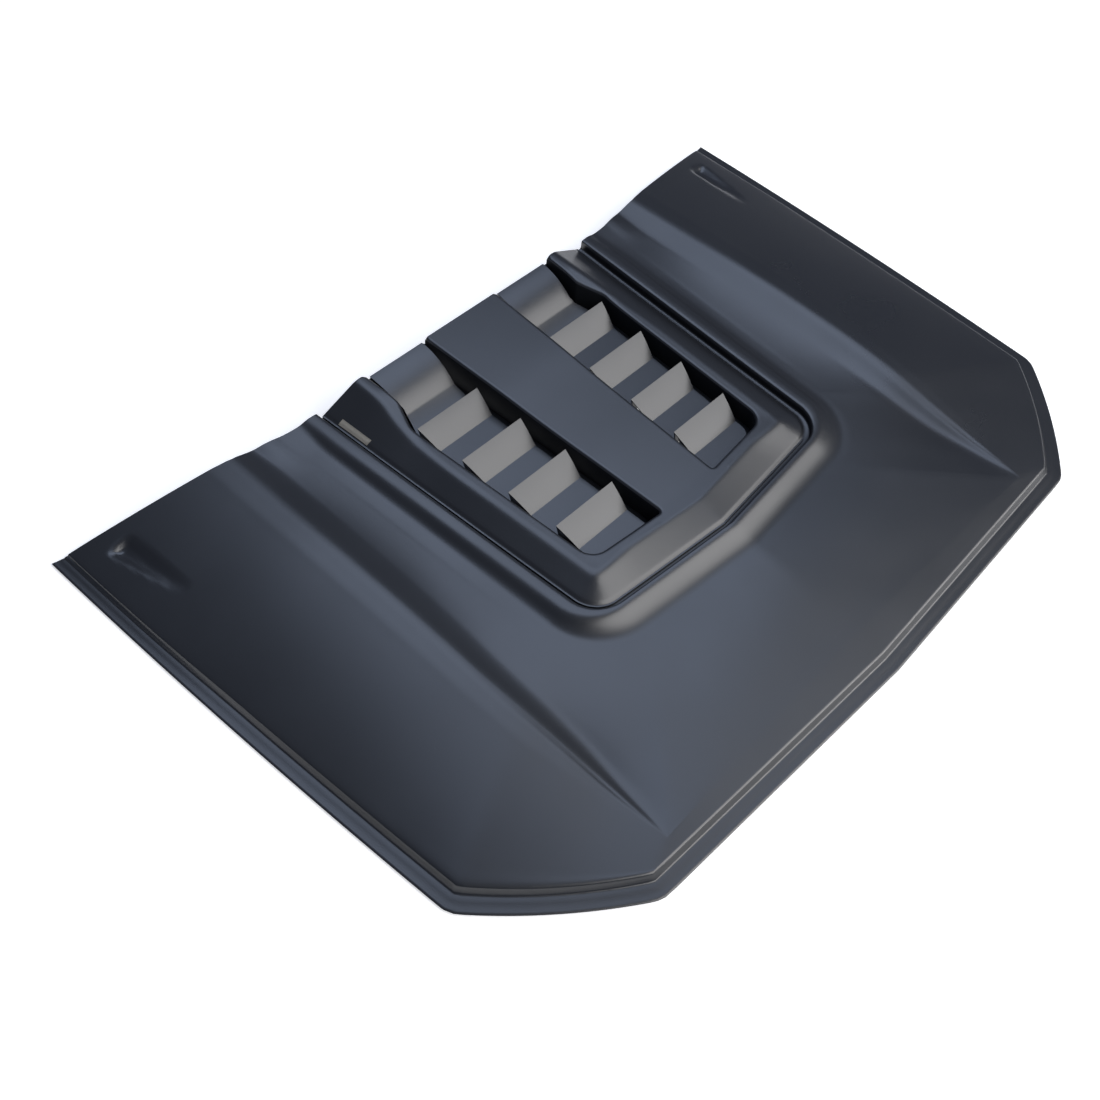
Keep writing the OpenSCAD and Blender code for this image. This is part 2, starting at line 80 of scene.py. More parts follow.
class Rule:
    """A size that changes smoothly along a run, through a few chosen points."""

    def __init__(self, *points: tuple[float, float]) -> None:
        """Work out the slopes of a curve that never overshoots its points.

        Args:
            points: Pairs of place and value, in rising order of place.
        """
        self.x, self.y = np.array(points, float).T
        run = np.diff(self.x)
        rise = np.diff(self.y) / run
        slope = np.zeros(len(self.x))
        slope[0], slope[-1] = rise[0], rise[-1]
        for i in range(1, len(rise)):
            if rise[i - 1] * rise[i] > 0:
                a, b = 2 * run[i] + run[i - 1], run[i] + 2 * run[i - 1]
                slope[i] = (a + b) / (a / rise[i - 1] + b / rise[i])
        self.slope = slope

    def __call__(self, place: Values) -> Values:
        """Value at a place, or at each place of an array.

        Args:
            place: Number or array.

        Returns:
            Number or array of values.
        """
        p = np.clip(place, self.x[0], self.x[-1])
        i = np.clip(np.searchsorted(self.x, p, side="right") - 1, 0, len(self.x) - 2)
        run = self.x[i + 1] - self.x[i]
        u = (p - self.x[i]) / run
        return (
            self.y[i] * (1 + 2 * u) * (1 - u) ** 2
            + self.slope[i] * run * u * (1 - u) ** 2
            + self.y[i + 1] * u * u * (3 - 2 * u)
            + self.slope[i + 1] * run * u * u * (u - 1)
        )


def rule(*points: tuple[float, float]) -> Rule:
    """Default value of a field that holds a rule."""
    return field(default_factory=lambda: Rule(*points))


def offset_line(p: np.ndarray, q: np.ndarray, off: float) -> tuple[np.ndarray, np.ndarray]:
    """Line through p and q, moved to its left-hand side.

    Args:
        p: First point.
        q: Second point.
        off: Distance.

    Returns:
        A point of the moved line and its direction.
    """
    d = unit(q - p)
    return p + np.array([d[1], -d[0]]) * off, d


def meet(a: tuple[np.ndarray, np.ndarray], b: tuple[np.ndarray, np.ndarray]) -> np.ndarray:
    """Point where two lines of a point and a direction meet.

    Args:
        a: Point and direction of one line.
        b: Point and direction of the other.

    Returns:
        The point.
    """
    step = b[0] - a[0]
    t = (step[0] * b[1][1] - step[1] * b[1][0]) / (a[1][0] * b[1][1] - a[1][1] * b[1][0])
    return a[0] + a[1] * t


def fillet(points: list[np.ndarray], radii: list[float], step: float = 1.5) -> np.ndarray:
    """Open path with its inner corners rounded.

    Args:
        points: Corners of the path.
        radii: Radius at each corner, 0 at both ends.
        step: Longest chord of an arc.

    Returns:
        Points of the rounded path.
    """
    path = [np.array(points[0], float)]
    for a, b, c, r in zip(points, points[1:], points[2:], radii[1:]):
        a, b, c = np.array(a, float), np.array(b, float), np.array(c, float)
        u, v = unit(a - b), unit(c - b)
        half = math.acos(np.clip(u @ v, -1, 1)) / 2
        reach = r / math.tan(half)
        centre = b + unit(u + v) * r / math.sin(half)
        first, last = b + u * reach - centre, b + v * reach - centre
        turn = math.atan2(first[0] * last[1] - first[1] * last[0], first @ last)
        count = max(3, int(abs(turn) * r / step))
        for i in range(count + 1):
            w = turn * i / count
            path.append(centre + np.array([first[0] * math.cos(w) - first[1] * math.sin(w),
                                           first[0] * math.sin(w) + first[1] * math.cos(w)]))
    path.append(np.array(points[-1], float))
    return np.array(path)


def resample(path: np.ndarray, step: float) -> np.ndarray:
    """Path with its long stretches cut to a step, and its own points kept.

    Args:
        path: Points of the path.
        step: Longest stretch.

    Returns:
        Points of the finer path.
    """
    out = [path[0]]
    for a, b in zip(path, path[1:]):
        count = max(1, math.ceil(np.linalg.norm(b - a) / step))
        out += [mix(a, b, (i + 1) / count) for i in range(count)]
    return np.array(out)


@dataclass(frozen=True)
class Layout:
    """The plan that the cover and the insert share."""

    cover_w: float = 1400
    cover_len: float = 920
    rear_bow: float = 76
    rear_power: float = 2.8
    side_taper: float = 37
    side_bow: float = 6
    corner_w: float = 191
    corner_len: float = 168
    corner_bow: float = 9
    front_v: float = 17
    corner_r: float = 13
    corner_r_fade: float = 26
    least_r: float = 3
    side_run: float = 730
    corner_run: float = 255
    front_run: float = 500
    insert_w: float = 556
    insert_taper: float = 30.5
    insert_len: float = 517
    insert_v: float = 23
    insert_r: float = 45
    insert_rear: float = -70
    insert_t: float = 2.5
    insert_foot: Rule = rule((0, 40), (0.25, 37.6), (1, 34.9), (2, 34), (3, 38))
    tape_t: float = 1.1

    def rear_y(self, x: float) -> float:
        """Y of the rear edge at X."""
        return -self.rear_bow * (1 - (abs(x) * 2 / self.cover_w) ** self.rear_power)

    def outline(self, s: float, off: float) -> np.ndarray:
        """Point of the cover's outline.

        Args:
            s: Run: 0 to 1 along the side, to 2 round the cut-off corner, to 3 to the centre line.
            off: Distance inside the outline.

        Returns:
            X and Y on the +X side.
        """
        half = self.cover_w / 2
        front = -(self.cover_len - self.front_v)
        corner = np.array([half - self.side_taper, front + self.corner_len])
        a = offset_line(np.array([half, 0]), corner, off)
        turn = np.array([half - self.side_taper - self.corner_w, front])
        b = offset_line(corner, turn, off)
        c = offset_line(turn, np.array([0, -self.cover_len]), off)
        p = np.array([half - off, self.rear_y(half - off)])
        q, r = meet(a, b), meet(b, c)

        def at(v: float) -> np.ndarray:
            """Point at run v, before the corners are rounded.

            Args:
                v: Run along the outline.

            Returns:
                X and Y.
            """
            if v <= 1:
                return mix(p, q, v) + np.array([self.side_bow * 4 * v * (1 - v), 0])
            if v <= 2:
                swell = self.corner_bow * 4 * (v - 1) * (2 - v)
                return mix(q, r, v - 1) + np.array([-b[1][1], b[1][0]]) * swell
            return mix(r, c[0] - c[1] * c[0][0] / c[1][0], v - 2)

        reach = max(self.least_r, self.corner_r * (1 - off / self.corner_r_fade))
        for knot, before, after in ((1, self.side_run, self.corner_run), (2, self.corner_run, self.front_run)):
            low, high = knot - reach / before, knot + reach / after
            if low < s < high:
                return bow(at(low), at(knot), at(high), (s - low) / (high - low))
        return at(s)

    def insert_lines(self) -> tuple[np.ndarray, np.ndarray, np.ndarray]:
        """Rear corner, front corner and front point of the insert, on the +X side.

        Returns:
            The three points.
        """
        half = self.insert_w / 2
        corner = np.array([half - self.insert_taper, self.insert_rear - self.insert_len])
        return np.array([half, self.insert_rear]), corner, np.array([0, corner[1] - self.insert_v])

    def aperture(self, s: float, off: float) -> np.ndarray:
        """Point of the insert's outline.

        Args:
            s: Run, as for the outline.
            off: Distance outside the insert's outline.

        Returns:
            X and Y on the +X side.
        """
        start, corner, end = self.insert_lines()
        a, b = offset_line(start, corner, -off), offset_line(corner, end, -off)
        r = max(self.least_r, self.insert_r + off)
        turn = math.acos(a[1] @ b[1])
        c = meet(a, b)
        t1, t2 = c - a[1] * r * math.tan(turn / 2), c + b[1] * r * math.tan(turn / 2)
        centre = t1 + np.array([a[1][1], -a[1][0]]) * r
        if s <= 1:
            x = a[0][0] + a[1][0] / a[1][1] * (self.rear_y(a[0][0]) - a[0][1])
            return mix(np.array([x, self.rear_y(x)]), t1, s)
        if s <= 2:
            w = math.atan2(*(t1 - centre)[::-1]) - (s - 1) * turn
            return centre + r * np.array([math.cos(w), math.sin(w)])
        return mix(t2, b[0] - b[1] * b[0][0] / b[1][0], s - 2)

    def place(self, points: np.ndarray) -> np.ndarray:
        """Points of the plan, in metres in the part's frame.

        Args:
            points: Points in the plan, in millimetres.

        Returns:
            The placed points.
        """
        moved = np.array(points, float)
        moved[..., 1] += self.cover_len / 2
        return moved * MM


LAYOUT = Layout()


class Term:
    """A number in a node tree. Python's operators on it add Math nodes."""

    def __init__(self, graph: "Graph", socket: bpy.types.NodeSocket) -> None:
        """Wrap an output socket of a graph."""
        self.graph = graph
        self.socket = socket

    def math(self, operation: str, *others: "Term | float") -> "Term":
        """Apply a Math node to this number and others."""
        return self.graph.math(operation, self, *others)

    def __add__(self, other: "Term | float") -> "Term":
        """Sum."""
        return self.math("ADD", other)

    def __radd__(self, other: "Term | float") -> "Term":
        """Sum with a plain number first."""
        return self.math("ADD", other)

    def __sub__(self, other: "Term | float") -> "Term":
        """Difference."""
        return self.math("SUBTRACT", other)

    def __rsub__(self, other: "Term | float") -> "Term":
        """Difference from a plain number."""
        return self.graph.math("SUBTRACT", other, self)

    def __mul__(self, other: "Term | float") -> "Term":
        """Product."""
        return self.math("MULTIPLY", other)

    def __rmul__(self, other: "Term | float") -> "Term":
        """Product with a plain number first."""
        return self.math("MULTIPLY", other)

    def __gt__(self, other: "Term | float") -> "Term":
        """1 where this is greater, else 0."""
        return self.math("GREATER_THAN", other)

    def __lt__(self, other: "Term | float") -> "Term":
        """1 where this is less, else 0."""
        return self.math("LESS_THAN", other)


class Graph:
    """Builds a node tree of materials or of geometry."""

    def __init__(self, tree: bpy.types.NodeTree) -> None:
        """Start from an empty tree."""
        self.tree = tree
        tree.nodes.clear()

    def node(self, kind: str, settings: dict[str, object] | None = None, **sockets: object) -> bpy.types.Node:
        """Add a node.

        Args:
            kind: The node's type.
            settings: Properties, set before the sockets.
            sockets: Values or links by the socket's name with underscores, or by n and its number.

        Returns:
            The node.
        """
        node = self.tree.nodes.new(kind)
        for name, value in (settings or {}).items():
            setattr(node, name, value)
        names = {s.name.replace(" ", "_"): s for s in reversed(node.inputs) if s.enabled}
        for name, value in sockets.items():
            socket = node.inputs[int(name[1:])] if name[1:].isdigit() else names[name]
            self.feed(socket, value)
        return node

    def feed(self, socket: bpy.types.NodeSocket, value: object) -> None:
        """Set a socket to a value, or link it to a term, a node's first output or a socket.

        Args:
            socket: The socket.
            value: The value, term, node or socket.
        """
        if isinstance(value, Term):
            value = value.socket
        if isinstance(value, bpy.types.Node):
            value = next(s for s in value.outputs if s.enabled)
        if isinstance(value, bpy.types.NodeSocket):
            self.tree.links.new(value, socket)
        else:
            socket.default_value = value

    def term(self, node: bpy.types.Node, output: str | int = 0) -> Term:
        """An output of a node as a term."""
        return Term(self, node.outputs[output])

    def math(self, operation: str, *values: Term | float) -> Term:
        """Result of a Math node.

        Args:
            operation: The node's operation.
            values: Terms or numbers.

        Returns:
            The result.
        """
        node = self.node("ShaderNodeMath", {"operation": operation})
        for socket, value in zip(node.inputs, values):
            self.feed(socket, value)
        return self.term(node)

    def blend(self, factor: object, a: object, b: object) -> bpy.types.NodeSocket:
        """Mix of two colours by a factor.

        Args:
            factor: Share of the second colour.
            a: First colour.
            b: Second colour.

        Returns:
            The mixed colour.
        """
        node = self.node("ShaderNodeMix", {"data_type": "RGBA"})
        for socket, value in ((node.inputs[0], factor), (node.inputs[6], a), (node.inputs[7], b)):
            self.feed(socket, value)
        return node.outputs[2]

    def noise(self, where: object, scale: float, detail: float = 2.0) -> Term:
        """Noise pattern on coordinates, as a term of about 0 to 1."""
        return self.term(self.node("ShaderNodeTexNoise", None, Vector=where, Scale=scale, Detail=detail))

    def ramp(self, value: Term, low: float, high: float) -> Term:
        """Smooth step of a value between two limits.

        Args:
            value: The value.
            low: Limit where the step begins.
            high: Limit where it ends.

        Returns:
            A term from 0 to 1.
        """
        node = self.node("ShaderNodeMapRange", {"interpolation_type": "SMOOTHSTEP"},
                         n0=value, n1=low, n2=high)
        return self.term(node)


@dataclass(frozen=True)
class Finish:
    """A finish and the name of its material."""

    name: str

    def graph(self) -> tuple[bpy.types.Material, Graph, bpy.types.NodeSocket]:
        """Start the material.

        Returns:
            The material, its graph and the object coordinates.
        """
        material = bpy.data.materials.new(self.name)
        material.use_nodes = True
        g = Graph(material.node_tree)
        return material, g, g.node("ShaderNodeTexCoord").outputs["Object"]

    def close(self, g: Graph, shader: bpy.types.Node) -> None:
        """Link a shader to the material's output."""
        g.node("ShaderNodeOutputMaterial", None, Surface=shader)


@dataclass(frozen=True)
class SatinPlastic(Finish):
    """Black plastic with a fine moulded grain, faint rubbed patches and stray dust."""

    tint: tuple = (0.011, 0.012, 0.0145)
    roughness: float = 0.31
    grain: float = 1500.0
    grain_depth: float = 0.00004
    dust: float = 1.0
    specular: float = 0.9

    def material(self) -> bpy.types.Material:
        """Build the material.

        Returns:
            The material.
        """
        material, g, where = self.graph()
        fine = g.noise(where, self.grain, 3.0)
        leather = g.term(g.node("ShaderNodeTexVoronoi", None, Vector=where, Scale=self.grain * 0.55))
        wave = g.noise(where, 9.0, 3.0)
        rubbed = g.ramp(g.noise(where, 3.2, 4.0), 0.45, 0.75)
        speck = g.node("ShaderNodeTexVoronoi", None, Vector=where, Scale=21.0)
        rare = g.term(g.node("ShaderNodeSeparateColor", None, Color=speck.outputs["Color"])) > 0.965
        dust = (g.term(speck) < 0.016) * rare * self.dust
        film = g.ramp(g.noise(where, 260.0, 2.0), 0.62, 0.85) * g.ramp(wave, 0.5, 0.7) * 0.10 * self.dust
        shade = tuple(c * 1.22 for c in self.tint)
        base = g.blend(rubbed * 0.5, (*self.tint, 1), (*shade, 1))
        base = g.blend(film, base, (0.16, 0.16, 0.165, 1))
        base = g.blend(dust, base, (0.5, 0.5, 0.49, 1))
        rough = self.roughness + (wave - 0.5) * 0.08 - rubbed * 0.035 + dust * 0.3
        bump = g.node("ShaderNodeBump", None, Strength=0.5, Distance=self.grain_depth,
                      Height=fine * 0.6 + leather * 0.8)
        shader = g.node("ShaderNodeBsdfPrincipled", None, Base_Color=base, Roughness=rough,
                        Specular_IOR_Level=self.specular, Normal=bump)
        self.close(g, shader)
        return material


@dataclass(frozen=True)
class SpringSteel(Finish):
    """Stamped spring steel with rolling lines."""

    def material(self) -> bpy.types.Material:
        """Build the material.

        Returns:
            The material.
        """
        material, g, where = self.graph()
        lines = g.noise(g.node("ShaderNodeMapping", None, Vector=where, Scale=(900, 60, 900)), 1.0, 4.0)
        patches = g.noise(where, 180.0, 3.0)
        base = g.blend(patches, (0.42, 0.42, 0.44, 1), (0.60, 0.60, 0.61, 1))
        bump = g.node("ShaderNodeBump", None, Strength=0.3, Distance=0.00003, Height=lines)
        shader = g.node("ShaderNodeBsdfPrincipled", None, Base_Color=base, Metallic=1.0,
                        Roughness=0.3 + lines * 0.2, Normal=bump)
        self.close(g, shader)
        return material


@dataclass(frozen=True)
class PaleMetal(Finish):
    """Pale warm metal of a small plate, finely brushed."""

    def material(self) -> bpy.types.Material:
        """Build the material.

        Returns:
            The material.
        """
        material, g, where = self.graph()
        lines = g.noise(g.node("ShaderNodeMapping", None, Vector=where, Scale=(2600, 90, 2600)), 1.0, 3.0)
        base = g.blend(g.noise(where, 320.0, 3.0), (0.44, 0.40, 0.32, 1), (0.60, 0.55, 0.45, 1))
        bump = g.node("ShaderNodeBump", None, Strength=0.25, Distance=0.00002, Height=lines)
        shader = g.node("ShaderNodeBsdfPrincipled", None, Base_Color=base, Metallic=0.7,
                        Roughness=0.34 + lines * 0.2, Normal=bump)
        self.close(g, shader)
        return material


@dataclass(frozen=True)
class FoamTape(Finish):
    """Closed-cell foam of a bonding tape."""

    def material(self) -> bpy.types.Material:
        """Build the material.

        Returns:
            The material.
        """
        material, g, where = self.graph()
        cells = g.term(g.node("ShaderNodeTexVoronoi", None, Vector=where, Scale=1400.0))
        patches = g.noise(where, 40.0, 3.0)
        base = g.blend(patches, (0.016, 0.016, 0.018, 1), (0.03, 0.03, 0.032, 1))
        bump = g.node("ShaderNodeBump", None, Strength=0.6, Distance=0.0001, Height=cells)
        shader = g.node("ShaderNodeBsdfPrincipled", None, Base_Color=base,
                        Roughness=0.8 + patches * 0.15, Normal=bump)
        self.close(g, shader)
        return material


class Part(Enum):
    """The visible pieces: the name of each and the slot of its finish."""

    COVER = ("cover_sheet", "cover")
    INSERT = ("insert_shell", "insert")
    LOUVRES = ("louvres", "louvres")
    PLATE = ("badge_plate", "insert")

    @property
    def title(self) -> str:
        """Name of the piece."""
        return self.value[0]

    @property
    def slot(self) -> str:
        """Slot that the piece takes its finish from."""
        return self.value[1]


def link(name: str, data: bpy.types.ID) -> bpy.types.Object:
    """Make an object of a mesh, a lamp or a camera, and put it in the scene.

    Args:
        name: The object's name.
        data: What it shows.

    Returns:
        The object.
    """
    obj = bpy.data.objects.new(name, data)
    bpy.context.scene.collection.objects.link(obj)
    return obj


def make_object(name: str, points: np.ndarray, faces: list[tuple[int, ...]], material: bpy.types.Material,
                sharp: float = 40.0) -> bpy.types.Object:
    """Make a mesh object of closed, outward faces.

    Args:
        name: The object's name.
        points: Points in the plan, in millimetres.
        faces: Point numbers of each face.
        material: Its material.
        sharp: Angle in degrees past which an edge is sharp.

    Returns:
        The object.
    """
    mesh = bpy.data.meshes.new(name)
    mesh.from_pydata([tuple(p) for p in LAYOUT.place(points)], [], faces)
    bm = bmesh.new()
    bm.from_mesh(mesh)
    bmesh.ops.remove_doubles(bm, verts=bm.verts, dist=1e-6)
    bmesh.ops.dissolve_degenerate(bm, edges=bm.edges, dist=1e-7)
    bmesh.ops.recalc_face_normals(bm, faces=bm.faces)
    bm.to_mesh(mesh)
    bm.free()
    mesh.shade_smooth()
    mesh.set_sharp_from_angle(angle=math.radians(sharp))
    mesh.materials.append(material)
    return link(name, mesh)


def settle(obj: bpy.types.Object, sharp: float = 40.0) -> bpy.types.Object:
    """Turn an object's modifiers into its mesh.

    Args:
        obj: The object.
        sharp: Angle in degrees past which an edge is sharp.

    Returns:
        The same object.
    """
    bpy.context.view_layer.update()
    done = bpy.data.meshes.new_from_object(obj.evaluated_get(bpy.context.evaluated_depsgraph_get()))
    done.name = obj.name
    obj.modifiers.clear()
    obj.data = done
    done.shade_smooth()
    done.set_sharp_from_angle(angle=math.radians(sharp))
    return obj


def geometry_graph(name: str, sizes: dict[str, object]) -> tuple[Graph, dict[str, object]]:
    """Start a tree of Geometry Nodes with named inputs.

    Args:
        name: The tree's name.
        sizes: Value of each named input: a length in millimetres, a whole number or a material.

    Returns:
        The graph, and the value of each input by its socket's identifier.
    """
    tree = bpy.data.node_groups.new(name, "GeometryNodeTree")
    tree.interface.new_socket("Geometry", in_out="INPUT", socket_type="NodeSocketGeometry")
    inputs = {}
    for title, value in sizes.items():
        kind = "Int" if isinstance(value, int) else "Float" if isinstance(value, float) else "Material"
        socket = tree.interface.new_socket(title, in_out="INPUT", socket_type="NodeSocket" + kind)
        inputs[socket.identifier] = value * MM if kind == "Float" else value
    tree.interface.new_socket("Geometry", in_out="OUTPUT", socket_type="NodeSocketGeometry")
    return Graph(tree), inputs


def close_graph(g: Graph, shape: bpy.types.Node, material: bpy.types.NodeSocket) -> None:
    """End a tree with real geometry in its material.

    Args:
        g: The tree's graph.
        shape: Node that gives the geometry.
        material: Socket that gives the material.
    """
    whole = g.node("GeometryNodeRealizeInstances", None, Geometry=shape)
    dressed = g.node("GeometryNodeSetMaterial", None, Geometry=whole, Material=material)
    g.node("NodeGroupOutput", None, Geometry=dressed)


def grow_from_graph(obj: bpy.types.Object, g: Graph, inputs: dict[str, object]) -> None:
    """Run a tree on an object and keep what it makes as the object's mesh.

    Args:
        obj: The object.
        g: The tree's graph.
        inputs: The value of each input by its socket's identifier.
    """
    modifier = obj.modifiers.new("grow", "NODES")
    modifier.node_group = g.tree
    for name, value in inputs.items():
        modifier[name] = value
    settle(obj)


def settle_piece(obj: bpy.types.Object, part: Part, *nodes: str) -> None:
    """Give a piece its body, and report it.

    Args:
        obj: The piece.
        part: What it is; not used.
        nodes: The nodes that it stands for.
    """
    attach(obj, BODY)
    if nodes:
        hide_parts(*nodes)
    log.info("%s: %d faces", obj.name, len(obj.data.polygons))


def smooth_rows(grid: np.ndarray, counts: list[int]) -> np.ndarray:
    """Round a grid's columns with curves through their points.

    Args:
        grid: Rows by columns of points.
        counts: Steps between each column and the next.

    Returns:
        The finer grid.
    """
    first = 2 * grid[:, :1] - grid[:, 1:2]
    last = 2 * grid[:, -1:] - grid[:, -2:-1]
    g = np.concatenate([first, grid, last], axis=1)
    gap = np.maximum(np.linalg.norm(np.diff(g, axis=1), axis=2), 1e-6) ** 0.5
    out = [grid[:, 0]]
    for j, count in enumerate(counts):
        p0, p1, p2, p3 = (g[:, j + k] for k in range(4))
        t0, t1, t2 = (gap[:, j + k][:, None] for k in range(3))
        m1 = (p2 - p1) / t1 - (p2 - p0) / (t0 + t1) + (p1 - p0) / t0
        m2 = (p3 - p2) / t2 - (p3 - p1) / (t1 + t2) + (p2 - p1) / t1
        for k in range(1, count + 1):
            u = k / count
            out.append(p1 * (1 + 2 * u) * (1 - u) ** 2 + m1 * t1 * u * (1 - u) ** 2
                       + p2 * u * u * (3 - 2 * u) + m2 * t1 * u * u * (u - 1))
    return np.stack(out, axis=1)


def grid_normals(grid: np.ndarray) -> np.ndarray:
    """Upward unit normals of a grid of points.

    Args:
        grid: Rows by columns of points.

    Returns:
        A normal for each point.
    """
    across = np.gradient(grid, axis=1)
    along = np.gradient(grid, axis=0)
    n = np.cross(across, along)
    n /= np.maximum(np.linalg.norm(n, axis=2, keepdims=True), 1e-9)
    return n * np.where(n[..., 2:] < 0, -1.0, 1.0)


def shell_faces(rows: int, columns: int) -> list[tuple[int, ...]]:
    """Faces of a closed sheet between an upper and a lower grid.

    Args:
        rows: Rows of each grid.
        columns: Columns of each grid.

    Returns:
        Faces as point numbers; the lower grid's points follow the upper grid's.
    """
    k = rows * columns
    faces = []
    for i in range(rows - 1):
        for j in range(columns - 1):
            a, b = i * columns + j, (i + 1) * columns + j
            faces.append((a, a + 1, b + 1, b))
            faces.append((a + k, b + k, b + 1 + k, a + 1 + k))
    ring = list(range(columns - 1))
    ring += [i * columns + columns - 1 for i in range(rows - 1)]
    ring += [(rows - 1) * columns + j for j in range(columns - 1, 0, -1)]
    ring += [i * columns for i in range(rows - 1, 0, -1)]
    faces += [(a, a + k, b + k, b) for a, b in zip(ring, ring[1:] + ring[:1])]
    return faces


@dataclass
class CoverSheet:
    """The moulded cover: flange, step, shoulders, washer pockets, plinth and ledge."""

    finish: SatinPlastic
    sheet_t: float = 3.0
    flange: Rule = rule((0, 24), (0.25, 25), (0.5, 28), (1, 29), (3, 29))
    flange_rise: float = 1.6
    step_run: float = 6.5
    step: Rule = rule((0, 7), (0.25, 9.75), (0.6, 12), (1, 12.5), (2, 11.5), (3, 11.5))
    shoulder_span: float = 862
    shoulder_x: Rule = rule((0, 1.5), (300, 0), (525, 1), (700, 10), (857, 16))
    shoulder_z: Rule = rule((0, 54.5), (0.16, 55.7), (0.33, 58.5), (0.4, 58.1), (0.54, 54), (0.62, 49.2),
                            (0.7, 43.1), (0.8, 31.7), (0.9, 21.8), (1, 16.5))
    turn_y: float = -625
    fade_y: float = -857
    front_in: float = 72
    front_lift: float = 2.5
    face_w: float = 44
    face_drop: float = 11
    fold_w: Rule = rule((0, 0.6), (0.15, 0.82), (0.6, 0.76), (0.8, 0.62), (0.93, 0.32), (1, 0.14))
    fold_h: Rule = rule((0, 0.82), (0.15, 1), (0.6, 0.98), (0.8, 0.82), (0.93, 0.36), (1, 0))
    front_fold: tuple[float, float, float] = (0.015, 26, 2.4)
    facet_end: float = 0.135
    facet_fall: float = 0.48
    facet_lost: float = 0.065
    lip: Rule = rule((0, 50), (0.3, 48.25), (1, 43.5), (1.5, 42.5), (2, 43), (3, 47.5))
    lip_gap: float = 8
    lip_swell: float = 2.5
    ledge_w: float = 17
    plinth_w: float = 68
    plinth: Rule = rule((0, 5.5), (0.12, 8.5), (0.3, 9.4), (1, 11.2), (2, 14), (3, 14))
    slope_from: Rule = rule((0, 17), (0.15, 20), (1, 20), (2, 10.5), (3, 10.5))
    slope_peak: Rule = rule((0, 16), (0.15, 18), (1, 17), (2, 14), (3, 14))
    slope_fade: Rule = rule((0, 16), (0.2, 18), (1, 22), (2, 38), (3, 38))
    rear_swell: float = 1.5
    rear_swell_run: float = 0.16
    pocket_x: float = 622
    pocket_y: float = 46
    pocket_len: float = 132
    pocket_w: float = 40
    pocket_depth: float = 9
    pocket_turn: float = 18
    pocket_taper: float = 0.6
    chord: float = 7

    def shoulder(self, s: float) -> np.ndarray:
        """Point of the shoulder's crest at run s.

        Args:
            s: Run along the outline.

        Returns:
            The point.
        """
        if s <= 1:
            y = mix(LAYOUT.rear_y(self.shoulder_span / 2), self.turn_y, s)
        else:
            y = mix(self.turn_y, self.fade_y, min(s, 2) - 1)
        p = np.array([self.shoulder_span / 2 - self.shoulder_x(-y), y,
                      LAYOUT.tape_t + self.shoulder_z(y / self.fade_y)])
        if s <= 2:
            return p
        front = np.array([0, -(LAYOUT.cover_len - self.front_in), p[2] + self.front_lift])
        return mix(p, front, s - 2)

    def fold(self, s: float) -> np.ndarray:
        """Foot of the sloping face inside the crest at run s.

        Args:
            s: Run along the outline.

        Returns:
            The point.
        """
        crest = self.shoulder(s)
        if s > 2:
            u = ease((s - 2) / 0.6)
            inward, ahead, lift = self.front_fold
            return crest + np.array([-crest[0] * inward, ahead * u, lift * u])
        t = crest[1] / self.fade_y
        return crest - np.array([self.face_w * self.fold_w(t), 0, self.face_drop * self.fold_h(t)])

    def ring(self, s: float, off: float, z: float) -> np.ndarray:
        """Point at a distance outside the insert's outline."""
        return np.array([*LAYOUT.aperture(s, off), z])

    def edge(self, s: float, off: float, z: float) -> np.ndarray:
        """Point at a distance inside the cover's outline."""
        return np.array([*LAYOUT.outline(s, off), z])

    def lip_points(self, s: float, top: float) -> list[np.ndarray]:
        """Ledge under the insert, and the wall up to the lip round it.

        Args:
            s: Run along the outline.
            top: Z of the lip.

        Returns:
            Points of the section, from the ledge outwards.
        """
        ledge = LAYOUT.tape_t + LAYOUT.insert_foot(s) - LAYOUT.insert_t
        gap = self.lip_gap
        return [self.ring(s, off, z) for off, z in (
            (-self.ledge_w, ledge), (gap - 2, ledge), (gap, ledge + 1.8),
            (gap + 0.3, top - 5), (gap + 0.9, top - 1.7), (gap + 2.4, top - 0.35))]

    def plinth_points(self, s: float, top: float, rise: float) -> list[np.ndarray]:
        """Slope from the lip to the plinth's foot, steepest between two soft ends.

        Args:
            s: Run along the outline.
            top: Z of the lip.
            rise: Height of the slope.

        Returns:
            Points of the section; the last is the foot.
        """
        begin, lead = self.slope_from(s), self.slope_peak(s)
        peak = begin + lead
        reach = peak + self.slope_fade(s)
        span = (reach - begin) / 2
        points = [self.ring(s, max(begin, 12), top - 0.01 * rise)]
        for u in (0.35, 0.7, 1):
            points.append(self.ring(s, begin + lead * u, top - rise * lead * u * u / (2 * span)))
        for u in (0.16, 0.34, 0.55, 0.78):
            off = mix(peak, reach, u)
            left = (reach - off) ** 2 / (2 * (reach - peak) * span)
            points.append(self.ring(s, off, top - rise * (1 - left)))
        return points + [self.ring(s, self.plinth_w, top - rise)]

